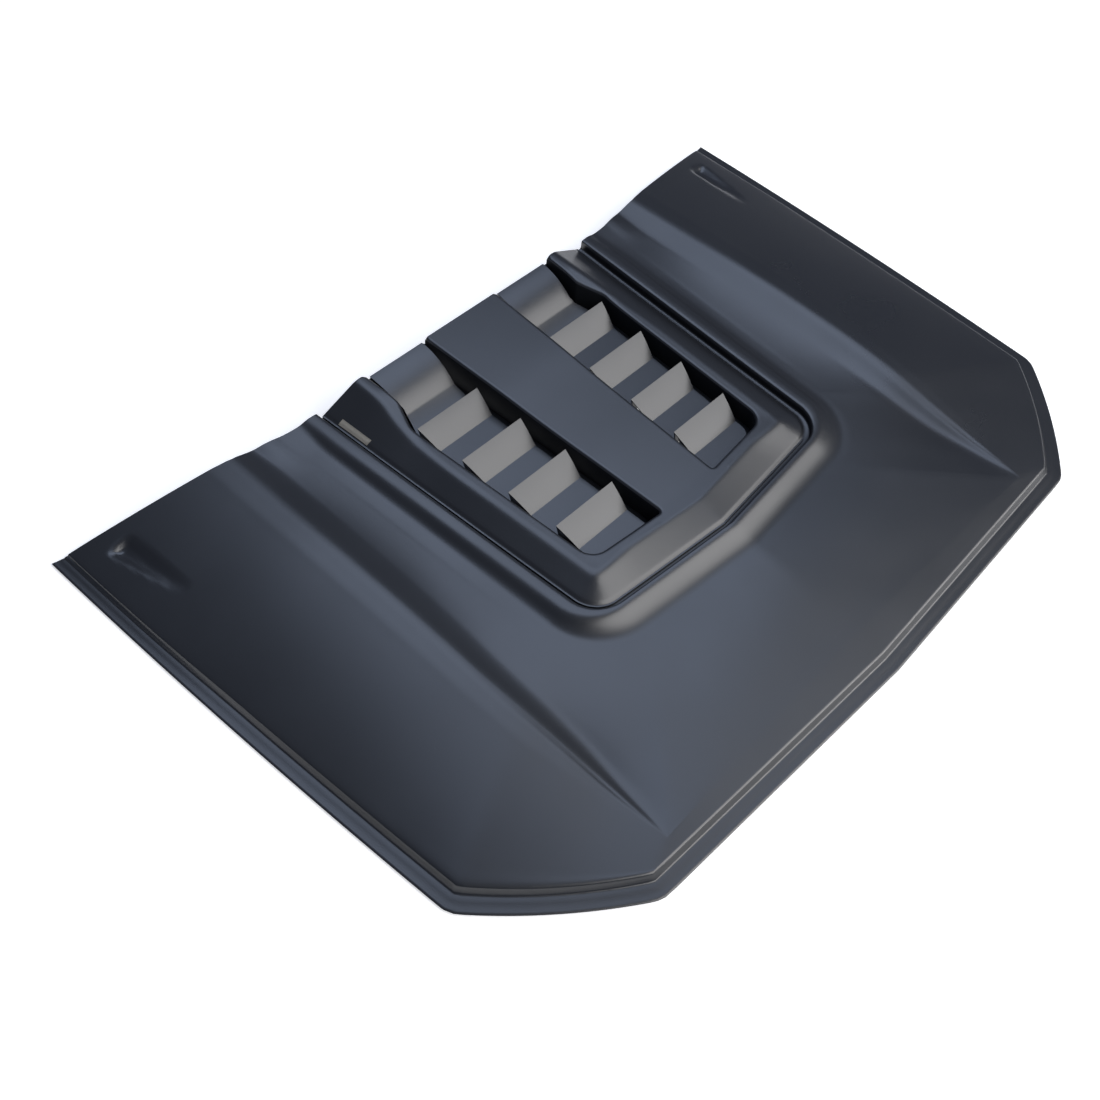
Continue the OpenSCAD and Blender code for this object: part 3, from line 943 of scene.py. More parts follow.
    def valley_points(self, s: float, foot: np.ndarray, rail: np.ndarray, late: float) -> list[np.ndarray]:
        """Hollow sweep from the plinth's foot to the fold, and the face up to the crest.

        Args:
            s: Run along the outline.
            foot: The plinth's foot.
            rail: Top of the step at the flange.
            late: 1 where the crest has faded into the front, else 0.

        Returns:
            Points of the section; the last is the crest.
        """
        bend, crest = self.fold(s), self.shoulder(s)
        fall = foot[2] - bend[2]
        turned = ease((s - 0.6) / 0.8)
        start = fall * mix(0.45, 0.6, turned)
        out = (crest[2] - rail[2]) * np.linalg.norm((bend - foot)[:2]) / np.linalg.norm((rail - crest)[:2])
        end = mix(fall * 1.9, mix(fall * 1.6, out, late), turned)
        swell = self.rear_swell * (1 - ease(s / self.rear_swell_run))
        points = []
        for u in (0.15, 0.3, 0.45, 0.6, 0.75, 0.88):
            p = mix(foot, bend, u)
            p[2] = (foot[2] * (1 + 2 * u) * (1 - u) ** 2 - start * u * (1 - u) ** 2
                    + bend[2] * u * u * (3 - 2 * u) + end * u * u * (1 - u)
                    + swell * math.sin(math.pi * u) ** 2)
            points.append(p)
        below, above = points[-1], mix(bend, crest, 0.45)
        points += [bow(below, bend, above, u) for u in (0.25, 0.5, 0.75)]
        return points + [above, mix(bend, crest, 0.8), crest - np.array([0, 0, 1 - late])]

    def flank_points(self, s: float, rail: np.ndarray, late: float) -> list[np.ndarray]:
        """Facet beside the crest and the flank that falls to the step.

        Args:
            s: Run along the outline.
            rail: Top of the step at the flange.
            late: 1 where the facet has faded away, else 0.

        Returns:
            Points of the section between the crest and the step.
        """
        crest = self.shoulder(s)
        drop = crest[2] - rail[2]
        points = []
        for u in (0.035, 0.08, 0.135, 0.18, 0.22, 0.3, 0.42, 0.54, 0.66, 0.78, 0.9):
            v = (u - self.facet_end) / (1 - self.facet_end)
            lost = self.facet_fall * u if v <= 0 else \
                self.facet_lost + (1 - self.facet_lost) * (0.8 * v + 0.2 * v * v)
            p = mix(crest, rail, u)
            p[2] = rail[2] + drop * (1 - mix(lost, u, late))
            points.append(p)
        return points

    def flange_points(self, s: float, w: float, brow: float) -> list[np.ndarray]:
        """Rounded step and the flange.

        Args:
            s: Run along the outline.
            w: The flange's width with the step.
            brow: Z of the step's top.

        Returns:
            Points of the section, ending at the outline.
        """
        flat = LAYOUT.tape_t + self.sheet_t
        inner = flat + self.flange_rise
        toe = w - self.step_run
        return [self.edge(s, off, z) for off, z in (
            (w + 1.4, brow + 0.1), (w, brow - 0.45), (w - 1.2, brow - 1.6), (w - 2, brow - 3.2),
            (toe + 1.4, inner + 2), (toe - 0.2, inner + 0.2), (toe - 3, inner),
            (7, flat + 0.3), (0.8, flat), (0, flat - 0.8))]

    def section(self, s: float) -> list[np.ndarray]:
        """Points of one section, from the ledge under the insert to the flange's edge.

        Args:
            s: Run along the outline.

        Returns:
            Points on the +X side.
        """
        top = LAYOUT.tape_t + self.lip(s) + self.lip_swell
        brow = LAYOUT.tape_t + self.sheet_t + self.step(s)
        w = self.flange(s)
        rail = self.edge(s, w, brow)
        late = ease((s - 1.5) / 0.5)
        plinth = self.plinth_points(s, top, self.plinth(s))
        return (self.lip_points(s, top) + plinth + self.valley_points(s, plinth[-1], rail, late)
                + self.flank_points(s, rail, late) + self.flange_points(s, w, brow))

    def pocket(self, grid: np.ndarray) -> np.ndarray:
        """Depth of the washer pocket at each point of a grid.

        Args:
            grid: Rows by columns of points.

        Returns:
            A depth for each point.
        """
        run = (-self.pocket_y - grid[..., 1]) / self.pocket_len
        width = self.pocket_w / 2 * (1 - self.pocket_taper * np.clip(run, 0, 1))
        side = np.abs(np.abs(grid[..., 0]) - (self.pocket_x - self.pocket_turn * run)) / width
        depth = self.pocket_depth * ease(run / 0.09) * (1 - run) * ease((1 - side) * 1.6)
        return np.where((run > 0) & (run < 1) & (side < 1), depth, 0.0)

    def build(self) -> bpy.types.Object:
        """Build the cover.

        Returns:
            The cover.
        """
        # Sections lie close together at the rear edge and at the corners.
        side = np.concatenate([np.linspace(0, 0.04, 6)[:-1], np.arange(0.04, 0.24, 0.006),
                               np.linspace(0.24, 0.96, 56)[:-1], np.linspace(0.96, 1, 5)])
        run = np.concatenate([side, np.linspace(1, 2, 31)[1:], np.linspace(2, 3, 22)[1:]])
        half = np.array([self.section(s) for s in run])
        mirror = half[:-1] * np.array([-1, 1, 1])
        grid = np.concatenate([mirror, half[::-1]])
        normals = grid_normals(grid)
        # The rear edge and the centre line stay in their planes through the sheet's thickness.
        normals[[0, -1], :, 1] = 0
        normals[abs(grid[..., 0]) < 0.01, 0] = 0
        normals /= np.linalg.norm(normals, axis=2, keepdims=True)
        low = grid - normals * self.sheet_t
        longest = np.linalg.norm(np.diff(half, axis=1), axis=2).max(0)
        counts = [int(np.clip(math.ceil(d / self.chord), 2, 7)) for d in longest]
        upper, lower = smooth_rows(grid, counts), smooth_rows(low, counts)
        depth = self.pocket(upper)
        upper[..., 2] -= depth
        lower[..., 2] -= depth
        rows, columns = upper.shape[:2]
        points = np.concatenate([upper.reshape(-1, 3), lower.reshape(-1, 3)])
        obj = make_object(Part.COVER.title, points, shell_faces(rows, columns), self.finish.material(), 50)
        settle_piece(obj, Part.COVER, "cover")
        return obj


@dataclass
class VentInsert:
    """The insert: a ridged surround, central bar and front bar, with walls round two openings."""

    finish: SatinPlastic
    # Painted shade: the deep upright walls of the openings reflect little, so they stay dark like a shadowed
    # recess.
    wall_finish: SatinPlastic = SatinPlastic("satin_walls", roughness=0.7, specular=0.2, dust=0.0)
    wall_foot: float = 16
    ridge_in: Rule = rule((0, 66), (0.12, 62), (0.22, 52), (0.34, 45), (0.5, 42), (1, 42),
                          (2.04, 43), (2.35, 50), (3, 51))
    ridge_z: Rule = rule((0, 73.5), (0.1, 72), (0.2, 63.6), (0.32, 56.7), (0.5, 55.5), (0.8, 53.4),
                         (1, 52), (3, 52.5))
    bar_z: Rule = rule((0, 71), (0.15, 67.9), (0.3, 64.8), (0.42, 60.9), (0.55, 57.7), (0.7, 55.4),
                       (0.9, 51.5))
    bar_rear: float = 154
    bar_front: float = 113
    surround: float = 62
    front_bar: float = 66
    kink_w: float = 20
    kink_y: float = 78
    kink_len: float = 44
    kink_growth: float = 0.4
    opening_r: float = 27
    bar_r: float = 4
    outer_x: float = 190
    inner_x: float = 75
    inside_opening: tuple[float, float] = (130, -300)
    edge_r: float = 5
    land: float = 9
    ridge_soft: float = 8
    bar_blend: tuple[float, float] = (165, 80)
    average_reach: tuple[float, float] = (4.5, 9.0)
    stud_r: float = 2.0
    stud_len: float = 11.0
    stud_in: float = 9
    stud_runs: tuple[float, ...] = (0.07, 0.295, 0.52, 0.745, 0.97, 1.5, 2.2, 2.75)

    def opening(self, grow: float = 0.0, lean: float = 0.0) -> np.ndarray:
        """Path round the +X opening, from the rear outer end to the rear end of the bar.

        Args:
            grow: Distance by which the opening is larger.
            lean: Distance by which it also stays clear of the bar and of the side.

        Returns:
            Points of the path.
        """
        start, corner, end = LAYOUT.insert_lines()
        side = offset_line(start, corner, self.surround - grow + lean)
        rear = offset_line(start, corner, self.surround + self.kink_w - grow + lean)
        front = offset_line(corner, end, self.front_bar - grow)
        bar = offset_line(np.array([self.bar_rear / 2, LAYOUT.insert_rear]),
                          np.array([self.bar_front / 2, corner[1]]), grow - lean)
        across = np.array([1.0, 0.0])
        kink = self.kink_y + grow * self.kink_growth
        points = [meet(rear, (np.array([0, LAYOUT.rear_y(self.outer_x)]), across)), rear[0] + rear[1] * kink,
                  side[0] + side[1] * (kink + self.kink_len), meet(side, front), meet(bar, front),
                  meet(bar, (np.array([0, LAYOUT.rear_y(self.inner_x)]), across))]
        r = self.opening_r
        return fillet(points, [0, r / 2 + grow, r + grow, r + grow, max(self.bar_r + grow, 1), 0])

    def edge_distance(self, points: np.ndarray) -> tuple[np.ndarray, np.ndarray]:
        """Distance inside the insert's outline.

        Args:
            points: X and Y of each point.

        Returns:
            Distance of each point, and the run where the outline is nearest.
        """
        run = np.concatenate([np.linspace(-0.1, 1, 260), np.linspace(1, 2, 90)[1:],
                              np.linspace(2, 3, 120)[1:]])
        path = np.array([LAYOUT.aperture(s, 0) for s in run])
        x, y = np.abs(points[:, :1]), points[:, 1:2]
        a, d = path[:-1], np.diff(path, axis=0)
        t = np.clip(((x - a[:, 0]) * d[:, 0] + (y - a[:, 1]) * d[:, 1]) / (d ** 2).sum(1), 0, 1)
        gap = np.hypot(x - a[:, 0] - t * d[:, 0], y - a[:, 1] - t * d[:, 1])
        k = gap.argmin(1)
        i = np.arange(len(k))
        return gap[i, k], np.clip(run[k] + t[i, k] * (run[k + 1] - run[k]), 0, 3)

    def surround_z(self, d: np.ndarray, s: np.ndarray) -> np.ndarray:
        """Height of the surround above the tape, before it is smoothed.

        Args:
            d: Distance inside the outline.
            s: Run of the nearest point of the outline.

        Returns:
            Heights.
        """
        foot, top, ridge = LAYOUT.insert_foot(s) + 0.2, self.ridge_z(s), self.ridge_in(s)
        soft = self.ridge_soft
        slope = foot + 2 + (top - foot - 2) * (d - 4) / (ridge - 4)
        low = foot + 2 * ease((d - 1.5) / 5)
        flank = mix(low, slope, ease((d - 3.5) / 4))
        crest = top - 0.8 * ease((d - ridge) / self.land)
        return mix(flank, crest, ease((d - ridge + soft) / (2 * soft)))

    def height(self, points: np.ndarray, path: np.ndarray) -> np.ndarray:
        """Height of the insert's top.

        Args:
            points: X and Y of each point.
            path: Path of the +X opening.

        Returns:
            Z of each point.
        """
        d, s = self.edge_distance(points)
        body = self.surround_z(d, s)
        # A mean over two rings of six points rounds the crease where two sides meet.
        rings = [body]
        for reach in self.average_reach:
            for k in range(6):
                turn = math.pi / 3 * (k + reach / 9)
                shift = np.array([math.cos(turn), math.sin(turn)]) * reach
                rings.append(self.surround_z(*self.edge_distance(points + shift)))
        body = mix(body, np.mean(rings, axis=0), ease((d - 11) / 9))
        bar = self.bar_z((LAYOUT.insert_rear - points[:, 1]) / LAYOUT.insert_len)
        begin, run = self.bar_blend
        z = mix(body, bar, np.where(d > self.ridge_in(s), ease((begin - np.abs(points[:, 0])) / run), 0))
        gap = self.path_distance(points, path)
        r = self.edge_r
        z -= r - np.sqrt(np.maximum(r * r - (r - np.clip(gap, 0, r)) ** 2, 0))
        return z + LAYOUT.tape_t

    @staticmethod
    def path_distance(points: np.ndarray, path: np.ndarray) -> np.ndarray:
        """Distance of each point from a path or its mirror image.

        Args:
            points: X and Y of each point.
            path: Points of the path, on the +X side.

        Returns:
            The distances.
        """
        best = np.full(len(points), 1e9)
        x = np.abs(points[:, 0])
        for a, b in zip(path, path[1:]):
            d = b - a
            t = np.clip(((x - a[0]) * d[0] + (points[:, 1] - a[1]) * d[1]) / (d @ d), 0, 1)
            best = np.minimum(best, np.hypot(x - a[0] - t * d[0], points[:, 1] - a[1] - t * d[1]))
        return best

    @staticmethod
    def inside(points: np.ndarray, loop: np.ndarray) -> np.ndarray:
        """True for each point that lies inside a closed loop.

        Args:
            points: X and Y of each point.
            loop: Points of the loop.

        Returns:
            A truth value for each point.
        """
        x, y = points[:, 0], points[:, 1]
        hit = np.zeros(len(points), bool)
        for a, b in zip(loop, np.roll(loop, -1, axis=0)):
            cross = (a[1] > y) != (b[1] > y)
            with np.errstate(divide="ignore", invalid="ignore"):
                at = (b[0] - a[0]) * (y - a[1]) / (b[1] - a[1]) + a[0]
            hit ^= cross & (x < at)
        return hit

    def border(self, path: np.ndarray) -> tuple[np.ndarray, list[int]]:
        """Border of the insert, with the openings as notches in its rear edge.

        Args:
            path: Path of the +X opening.

        Returns:
            The closed border, and for each point its number in the opening's path, or -1.
        """
        run = np.concatenate([np.linspace(0, 1, 90)[:-1], np.linspace(1, 2, 24)[:-1], np.linspace(2, 3, 40)])
        edge = np.array([LAYOUT.aperture(s, 0) for s in run])
        left = edge[::-1] * np.array([-1, 1])
        start, end = path[0], path[-1]
        wide = mix(edge[0], start, np.linspace(0, 1, 14)[1:-1, None])
        bar = mix(end, end * np.array([-1, 1]), np.linspace(0, 1, 27)[1:-1, None])
        loop = [edge, left[1:], wide * np.array([-1, 1]), path * np.array([-1, 1]),
                bar[::-1], path[::-1], wide[::-1]]
        n = len(path)
        marks = [-1] * (len(edge) + len(left) - 1 + len(wide)) + list(range(n)) + [-1] * len(bar)
        marks += [n + i for i in reversed(range(n))] + [-1] * len(wide)
        return np.concatenate(loop), marks

    def fill(self, loop: np.ndarray, rings: np.ndarray,
             step: float) -> tuple[np.ndarray, list[tuple[int, ...]]]:
        """Triangles inside a border.

        Args:
            loop: The closed border.
            rings: Inner points to keep.
            step: Spacing of the points that fill the rest.

        Returns:
            Points, with the border first, and triangles.
        """
        low, high = loop.min(0), loop.max(0)
        gx, gy = np.meshgrid(np.arange(low[0], high[0], step), np.arange(low[1], high[1], step * 0.87))
        gx[1::2] += step / 2
        grid = np.stack([gx.ravel(), gy.ravel()], 1)
        inner = np.concatenate([rings, grid])
        inner = inner[self.inside(inner, loop)]
        # Cells of the plan hold the points kept so far, so that each new one keeps clear of them.
        cell = 8
        cells: dict[tuple[int, int], list[np.ndarray]] = {}
        for p in resample(np.concatenate([loop, loop[:1]]), 3):
            cells.setdefault((int(p[0] // cell), int(p[1] // cell)), []).append(p)
        good = []
        count = int(self.inside(rings, loop).sum())
        for k, p in enumerate(inner):
            i, j = int(p[0] // cell), int(p[1] // cell)
            room = 0.45 if k < count else step * 0.55
            near = (q for di in (-1, 0, 1) for dj in (-1, 0, 1) for q in cells.get((i + di, j + dj), ()))
            if all(abs(q[0] - p[0]) > room or abs(q[1] - p[1]) > room for q in near):
                good.append(p)
                cells.setdefault((i, j), []).append(p)
        points = [Vector(p) for p in loop] + [Vector(p) for p in good]
        n = len(loop)
        border = [(i, (i + 1) % n) for i in range(n)]
        verts, _, faces, origin, _, _ = delaunay_2d_cdt(points, border, [], 1, 1e-4)
        place = {k: new for new, old in enumerate(origin) for k in old}
        order = [place[k] for k in range(n)]
        first = set(order)
        order += [k for k in range(len(verts)) if k not in first]
        index = {old: new for new, old in enumerate(order)}
        return np.array([tuple(verts[k]) for k in order]), [tuple(index[k] for k in f) for f in faces]

    def outward(self, path: np.ndarray) -> np.ndarray:
        """Unit normals of an opening's path, away from the opening.

        Args:
            path: Path of the +X opening.

        Returns:
            A normal for each point.
        """
        tangent = np.gradient(path, axis=0)
        tangent /= np.linalg.norm(tangent, axis=1, keepdims=True)
        normal = np.stack([-tangent[:, 1], tangent[:, 0]], 1)
        away = ((path - np.array(self.inside_opening)) * normal).sum(1)
        return -normal if np.median(away) < 0 else normal

    def kept_rings(self, path: np.ndarray, normal: np.ndarray) -> np.ndarray:
        """Points in close rows along the outline, the ridge and the openings.

        Args:
            path: Path of the +X opening.
            normal: Its outward normals.

        Returns:
            X and Y of the points on both sides.
        """
        runs = np.linspace(0.004, 3, 330)
        rings = [LAYOUT.aperture(s, -d) for d in (1.2, 2.5, 4, 5.5, 7, 9, 12) for s in runs]
        rings += [LAYOUT.aperture(s, -self.ridge_in(s) - d)
                  for d in (-10, -7, -4.5, -2.5, 0, 2.5, 5, 8) for s in runs]
        for d in (0.5, 1.2, 2.2, 3.4, 5, 7):
            rings += list(path[1:-1] + normal[1:-1] * d)
        half = np.array(rings)
        return np.concatenate([half, half * np.array([-1, 1])])

    def shell(self) -> bpy.types.Object:
        """Make the closed shell: top, underside, rim and the walls round both openings.

        Returns:
            The shell.
        """
        path = resample(self.opening(), 4)
        normal = self.outward(path)
        grown = path + normal * LAYOUT.insert_t
        grown[[0, -1], 1] = path[[0, -1], 1]
        loop, marks = self.border(path)
        low_loop, _ = self.border(grown)
        rings = self.kept_rings(path, normal)
        top, top_faces = self.fill(loop, rings, 7.5)
        low, low_faces = self.fill(low_loop, rings, 9.0)
        n, a, b = len(loop), len(top), len(low)
        foot = np.full(n, LAYOUT.tape_t + self.wall_foot)
        points = np.concatenate([np.column_stack([top, self.height(top, path)]),
                                 np.column_stack([low, self.height(low, path) - LAYOUT.insert_t]),
                                 np.column_stack([loop, foot]), np.column_stack([low_loop, foot])])
        faces = list(top_faces) + [tuple(a + k for k in reversed(f)) for f in low_faces]
        w0, w1 = a + b, a + b + n
        for i in range(n):
            j = (i + 1) % n
            if marks[i] >= 0 and marks[j] >= 0 and abs(marks[i] - marks[j]) == 1:
                faces += [(i, j, w0 + j, w0 + i), (w0 + i, w0 + j, w1 + j, w1 + i),
                          (w1 + i, w1 + j, a + j, a + i)]
            else:
                faces.append((i, j, a + j, a + i))
        last = len(path) - 1
        faces += [(i, w0 + i, w1 + i, a + i) for i, mark in enumerate(marks)
                  if mark in (0, last, last + 1, 2 * last + 1)]
        return make_object(Part.INSERT.title, points, faces, self.finish.material(), 38)

    def dull_walls(self, obj: bpy.types.Object) -> None:
        """Give the deep upright faces of the openings a barely reflective finish: painted shade that keeps
        them dark.

        Args:
            obj: The insert's shell.
        """
        obj.data.materials.append(self.wall_finish.material())
        centres = np.array([f.center[:2] for f in obj.data.polygons]) / MM
        deep = self.edge_distance(centres - np.array([0, LAYOUT.cover_len / 2]))[0] > 20
        for face, inner in zip(obj.data.polygons, deep):
            if inner and abs(face.normal.z) < 0.3:
                face.material_index = 1

    def build(self) -> bpy.types.Object:
        """Build the insert's shell, walls and studs.

        Returns:
            The insert.
        """
        obj = self.shell()
        self.dull_walls(obj)
        self.studs(obj)
        settle_piece(obj, Part.INSERT, "vent_insert")
        return obj

    def studs(self, shell: bpy.types.Object) -> None:
        """Add the studs that pass through the ledge.

        Args:
            shell: The insert's shell, which they join.
        """
        g, inputs = geometry_graph("stud_set", {
            "Low Radius": self.stud_r * 0.8, "High Radius": self.stud_r, "Length": self.stud_len,
            "Material": shell.data.materials[0]})
        given = g.node("NodeGroupInput")
        stud = g.node("GeometryNodeMeshCone", None, Vertices=20, Radius_Top=given.outputs["High Radius"],
                      Radius_Bottom=given.outputs["Low Radius"], Depth=given.outputs["Length"])
        spots = g.node("GeometryNodeMeshToPoints", None, Mesh=given.outputs["Geometry"])
        copies = g.node("GeometryNodeInstanceOnPoints", None, Points=spots, Instance=stud.outputs["Mesh"])
        close_graph(g, copies, given.outputs["Material"])
        feet = [(*(LAYOUT.aperture(s, -self.stud_in) * np.array([side, 1])),
                 LAYOUT.tape_t + LAYOUT.insert_foot(s) - 0.5 - self.stud_len)
                for s in self.stud_runs for side in (1, -1)]
        mesh = bpy.data.meshes.new("studs")
        mesh.from_pydata([tuple(p) for p in LAYOUT.place(np.array(feet))], [], [])
        obj = link("studs", mesh)
        grow_from_graph(obj, g, inputs)
        bm = bmesh.new()
        bm.from_mesh(shell.data)
        bm.from_mesh(obj.data)
        bm.to_mesh(shell.data)
        bm.free()
        bpy.data.objects.remove(obj)


@dataclass
class BadgePlate:
    """Thin bare plate on the near rear flank of the insert."""

    finish: PaleMetal
    insert: VentInsert
    rear: float = 99
    length: float = 58
    width: float = 8.5
    inset: float = 4.2
    rim: float = 0.25
    plate_t: float = 0.7
    sunk: float = 0.4
    points_along: int = 30
    points_across: int = 9

    def build(self) -> bpy.types.Object:
        """Build the plate.

        Returns:
            The plate.
        """
        start = LAYOUT.aperture(0, 0)[1]
        whole = LAYOUT.aperture(1, 0)[1] - start
        along, across = self.points_along, self.points_across
        rows = []
        for i in range(along):
            s = (-self.rear - self.length * i / (along - 1) - start) / whole
            rows.append([LAYOUT.aperture(s, -self.inset - self.width * j / (across - 1))
                         for j in range(across)])
        plan = np.array(rows) * np.array([-1, 1])
        z = self.insert.height(plan.reshape(-1, 2), self.insert.opening()).reshape(along, across)
        lift = np.full((along, across), self.plate_t - self.rim)
        lift[[0, -1], :] = lift[:, [0, -1]] = self.plate_t
        upper = np.dstack([plan, z + lift])
        lower = np.dstack([plan, z - self.sunk])
        points = np.concatenate([upper.reshape(-1, 3), lower.reshape(-1, 3)])
        obj = make_object(Part.PLATE.title, points, shell_faces(along, across), self.finish.material(), 30)
        settle_piece(obj, Part.PLATE)
        return obj


@dataclass
class LouvreBank:
    """One bank of louvres: a long rear blade and a row of ridges, trimmed to the opening."""

    finish: SatinPlastic
    insert: VentInsert
    louvre_t: float = 2.5
    ridge_count: int = 4
    pitch: float = 87.5
    first: float = 122.0
    crest_z: float = 52.5
    face_run: float = 38.0
    face_drop: float = 27.0
    face_bow: tuple[float, float] = (0.44, 0.33)
    blade_z: float = 63.0
    blade_run: float = 77.0
    blade_drop: float = 29.0
    blade_bow: float = 0.52
    floor_fall: float = 1.5
    width: float = 170.0
    inner_x: float = 50.0
    gap: float = 4
    lean: float = 16
    lug_lean: float = 0.85
    flange: float = 11
    tab_t: float = 2.5
    low_z: float = 8
    high_z: float = 66
    skin: float = 0.06
    wall_under: float = 0.2
    sharp: float = 35

    def graph(self, material: bpy.types.Material) -> tuple[Graph, dict[str, object]]:
        """Tree that draws the rear blade and the ridges as one strip.

        Args:
            material: The strip's material.

        Returns:
            The tree's graph, and the value of each input by its socket's identifier.
        """
        g, inputs = geometry_graph("louvre_strip", {
            "Count": self.ridge_count, "Pitch": self.pitch, "First Ridge": self.first,
            "Crest": self.crest_z + LAYOUT.tape_t, "Face Run": self.face_run, "Face Drop": self.face_drop,
            "Blade Height": self.blade_z + LAYOUT.tape_t, "Blade Run": self.blade_run,
            "Blade Drop": self.blade_drop, "Rear": float(LAYOUT.insert_rear), "Width": self.width,
            "Floor Fall": self.floor_fall, "Material": material})
        given = g.node("NodeGroupInput")
        size = {s.name: Term(g, s) for s in given.outputs if s.name}

        def place(y: Term | float, z: Term | float, x: Term | float = 0.0) -> bpy.types.Node:
            """A point."""
            return g.node("ShaderNodeCombineXYZ", None, X=x, Y=y, Z=z)

        def line(a: bpy.types.Node, b: bpy.types.Node) -> bpy.types.Node:
            """A straight stretch."""
            return g.node("GeometryNodeCurvePrimitiveLine", None, Start=a, End=b)

        def bend(a: bpy.types.Node, b: bpy.types.Node, c: bpy.types.Node, steps: int) -> bpy.types.Node:
            """A stretch that leaves a towards b and ends in c."""
            return g.node("GeometryNodeCurveQuadraticBezier", None, Resolution=steps, Start=a, Middle=b, End=c)

        def join(parts: list[bpy.types.Node]) -> bpy.types.Node:
            """Several stretches as one geometry.

            Args:
                parts: Nodes that give the stretches.

            Returns:
                The node that joins them.
            """
            node = g.node("GeometryNodeJoinGeometry")
            for part in reversed(parts):
                g.tree.links.new(part.outputs[0], node.inputs[0])
            return node

        crest, run, drop, height = size["Crest"], size["Face Run"], size["Face Drop"], size["Blade Height"]
        low = crest - drop + size["Floor Fall"]
        base = low - size["Floor Fall"]
        first = size["Rear"] - size["First Ridge"]
        next_ridge = size["Pitch"] * -1.0
        over, down = self.face_bow
        ridge = join([
            line(place(0.0, base), place(0.0, crest)),
            bend(place(0.0, crest), place(run * -over, crest - drop * down), place(run * -1.0, low), 8),
            line(place(run * -1.0, low), place(next_ridge, base))])
        spots = g.node("GeometryNodeMeshLine", {"mode": "OFFSET"}, Count=size["Count"],
                       Start_Location=place(first, 0.0), Offset=place(next_ridge, 0.0))
        copies = g.node("GeometryNodeInstanceOnPoints", None, Points=spots, Instance=ridge)
        ridges = g.node("GeometryNodeRealizeInstances", None, Geometry=copies)
        rear = size["Rear"] + 3 * MM
        end = size["Rear"] - size["Blade Run"] - 4 * MM
        deep = height - size["Blade Drop"]
        wire = g.node("GeometryNodeCurveToMesh", None, Curve=join([
            ridges,
            bend(place(rear, height + 0.5 * MM), place(mix(rear, end, self.blade_bow), height),
                 place(end, deep), 22),
            line(place(end, deep), place(first, base))]))
        wire = g.node("GeometryNodeMergeByDistance", None, Geometry=wire, Distance=0.02 * MM)
        strip = g.node("GeometryNodeExtrudeMesh", {"mode": "EDGES"}, Mesh=wire,
                       Offset=place(0.0, 0.0, 1.0), Offset_Scale=size["Width"])
        moved = g.node("GeometryNodeTransform", None, Geometry=strip,
                       Translation=place(0.0, 0.0, self.inner_x * MM))
        close_graph(g, moved, given.outputs["Material"])
        return g, inputs

    def strip(self, material: bpy.types.Material) -> tuple[bpy.types.Object, bpy.types.Object]:
        """The louvre strip before it is trimmed, on the +X side.

        Args:
            material: The strip's material.

        Returns:
            The strip and the solid under its surface.
        """
        obj = link("louvre_strip", bpy.data.meshes.new("louvre_strip"))
        grow_from_graph(obj, *self.graph(material))
        bm = bmesh.new()
        bm.from_mesh(obj.data)
        bmesh.ops.translate(bm, verts=bm.verts, vec=(0, LAYOUT.cover_len / 2 * MM, 0))
        bmesh.ops.recalc_face_normals(bm, faces=bm.faces)
        if sum(f.normal.z * f.calc_area() for f in bm.faces) < 0:
            bmesh.ops.reverse_faces(bm, faces=bm.faces)
        bm.to_mesh(obj.data)
        bm.free()
        body = self.below(obj, LAYOUT.tape_t + self.insert.wall_foot - 1)
        thick = obj.modifiers.new("thickness", "SOLIDIFY")
        thick.thickness = self.louvre_t * MM
        thick.offset = -1
        thick.use_even_offset = True
        return settle(obj), body

    def below(self, sheet: bpy.types.Object, depth: float) -> bpy.types.Object:
        """Solid from just under the strip's surface down to a level plane.

        Args:
            sheet: The strip's surface, without thickness.
            depth: Z of the plane.

        Returns:
            The solid.
        """
        bm = bmesh.new()
        bm.from_mesh(sheet.data)
        bmesh.ops.translate(bm, verts=bm.verts, vec=(0, 0, -self.wall_under * MM))
        ends = [e for e in bm.edges if e.is_boundary and abs(e.verts[0].co.x - e.verts[1].co.x) > MM]
        made = bmesh.ops.extrude_edge_only(bm, edges=ends)["geom"]
        low = sorted((v for v in made if isinstance(v, bmesh.types.BMVert)),
                     key=lambda v: (round(v.co.y, 4), v.co.x))
        for v in low:
            v.co.z = depth * MM
        bm.faces.new((low[0], low[1], low[3], low[2]))
        bmesh.ops.holes_fill(bm, edges=[e for e in bm.edges if e.is_boundary])
        bmesh.ops.triangulate(bm, faces=[f for f in bm.faces if len(f.verts) > 4])
        bmesh.ops.recalc_face_normals(bm, faces=bm.faces)
        mesh = bpy.data.meshes.new("below")
        bm.to_mesh(mesh)
        bm.free()
        return link("below", mesh)

    def prism(self, name: str, loop: np.ndarray, low: float, high: float, material: bpy.types.Material,
              above: np.ndarray | None = None) -> bpy.types.Object:
        """Upright or leaning prism on a closed loop.

        Args:
            name: Its name.
            loop: The loop.
            low: Z of its base.
            high: Z of its top.
            material: Its material.
            above: The loop of its top, where it differs.

        Returns:
            The prism.
        """
        n = len(loop)
        upper = loop if above is None else above
        points = np.concatenate([np.column_stack([loop, np.full(n, low)]),
                                 np.column_stack([upper, np.full(n, high)])])
        faces = [tuple(range(n)), tuple(range(2 * n - 1, n - 1, -1))]
        faces += [(i, (i + 1) % n, n + (i + 1) % n, n + i) for i in range(n)]
        return make_object(name, points, faces, material)

    def cut(self, obj: bpy.types.Object, tool: bpy.types.Object, operation: str) -> bpy.types.Object:
        """Trim an object with another, which goes.

        Args:
            obj: The object.
            tool: The object that trims it.
            operation: INTERSECT or DIFFERENCE.

        Returns:
            The trimmed object.
        """
        modifier = obj.modifiers.new("trim", "BOOLEAN")
        modifier.operation = operation
        # This solver takes the thick strip, which meets itself at its inner corners.
        modifier.solver = "MANIFOLD"
        modifier.object = tool
        settle(obj)
        bpy.data.objects.remove(tool)
        return obj

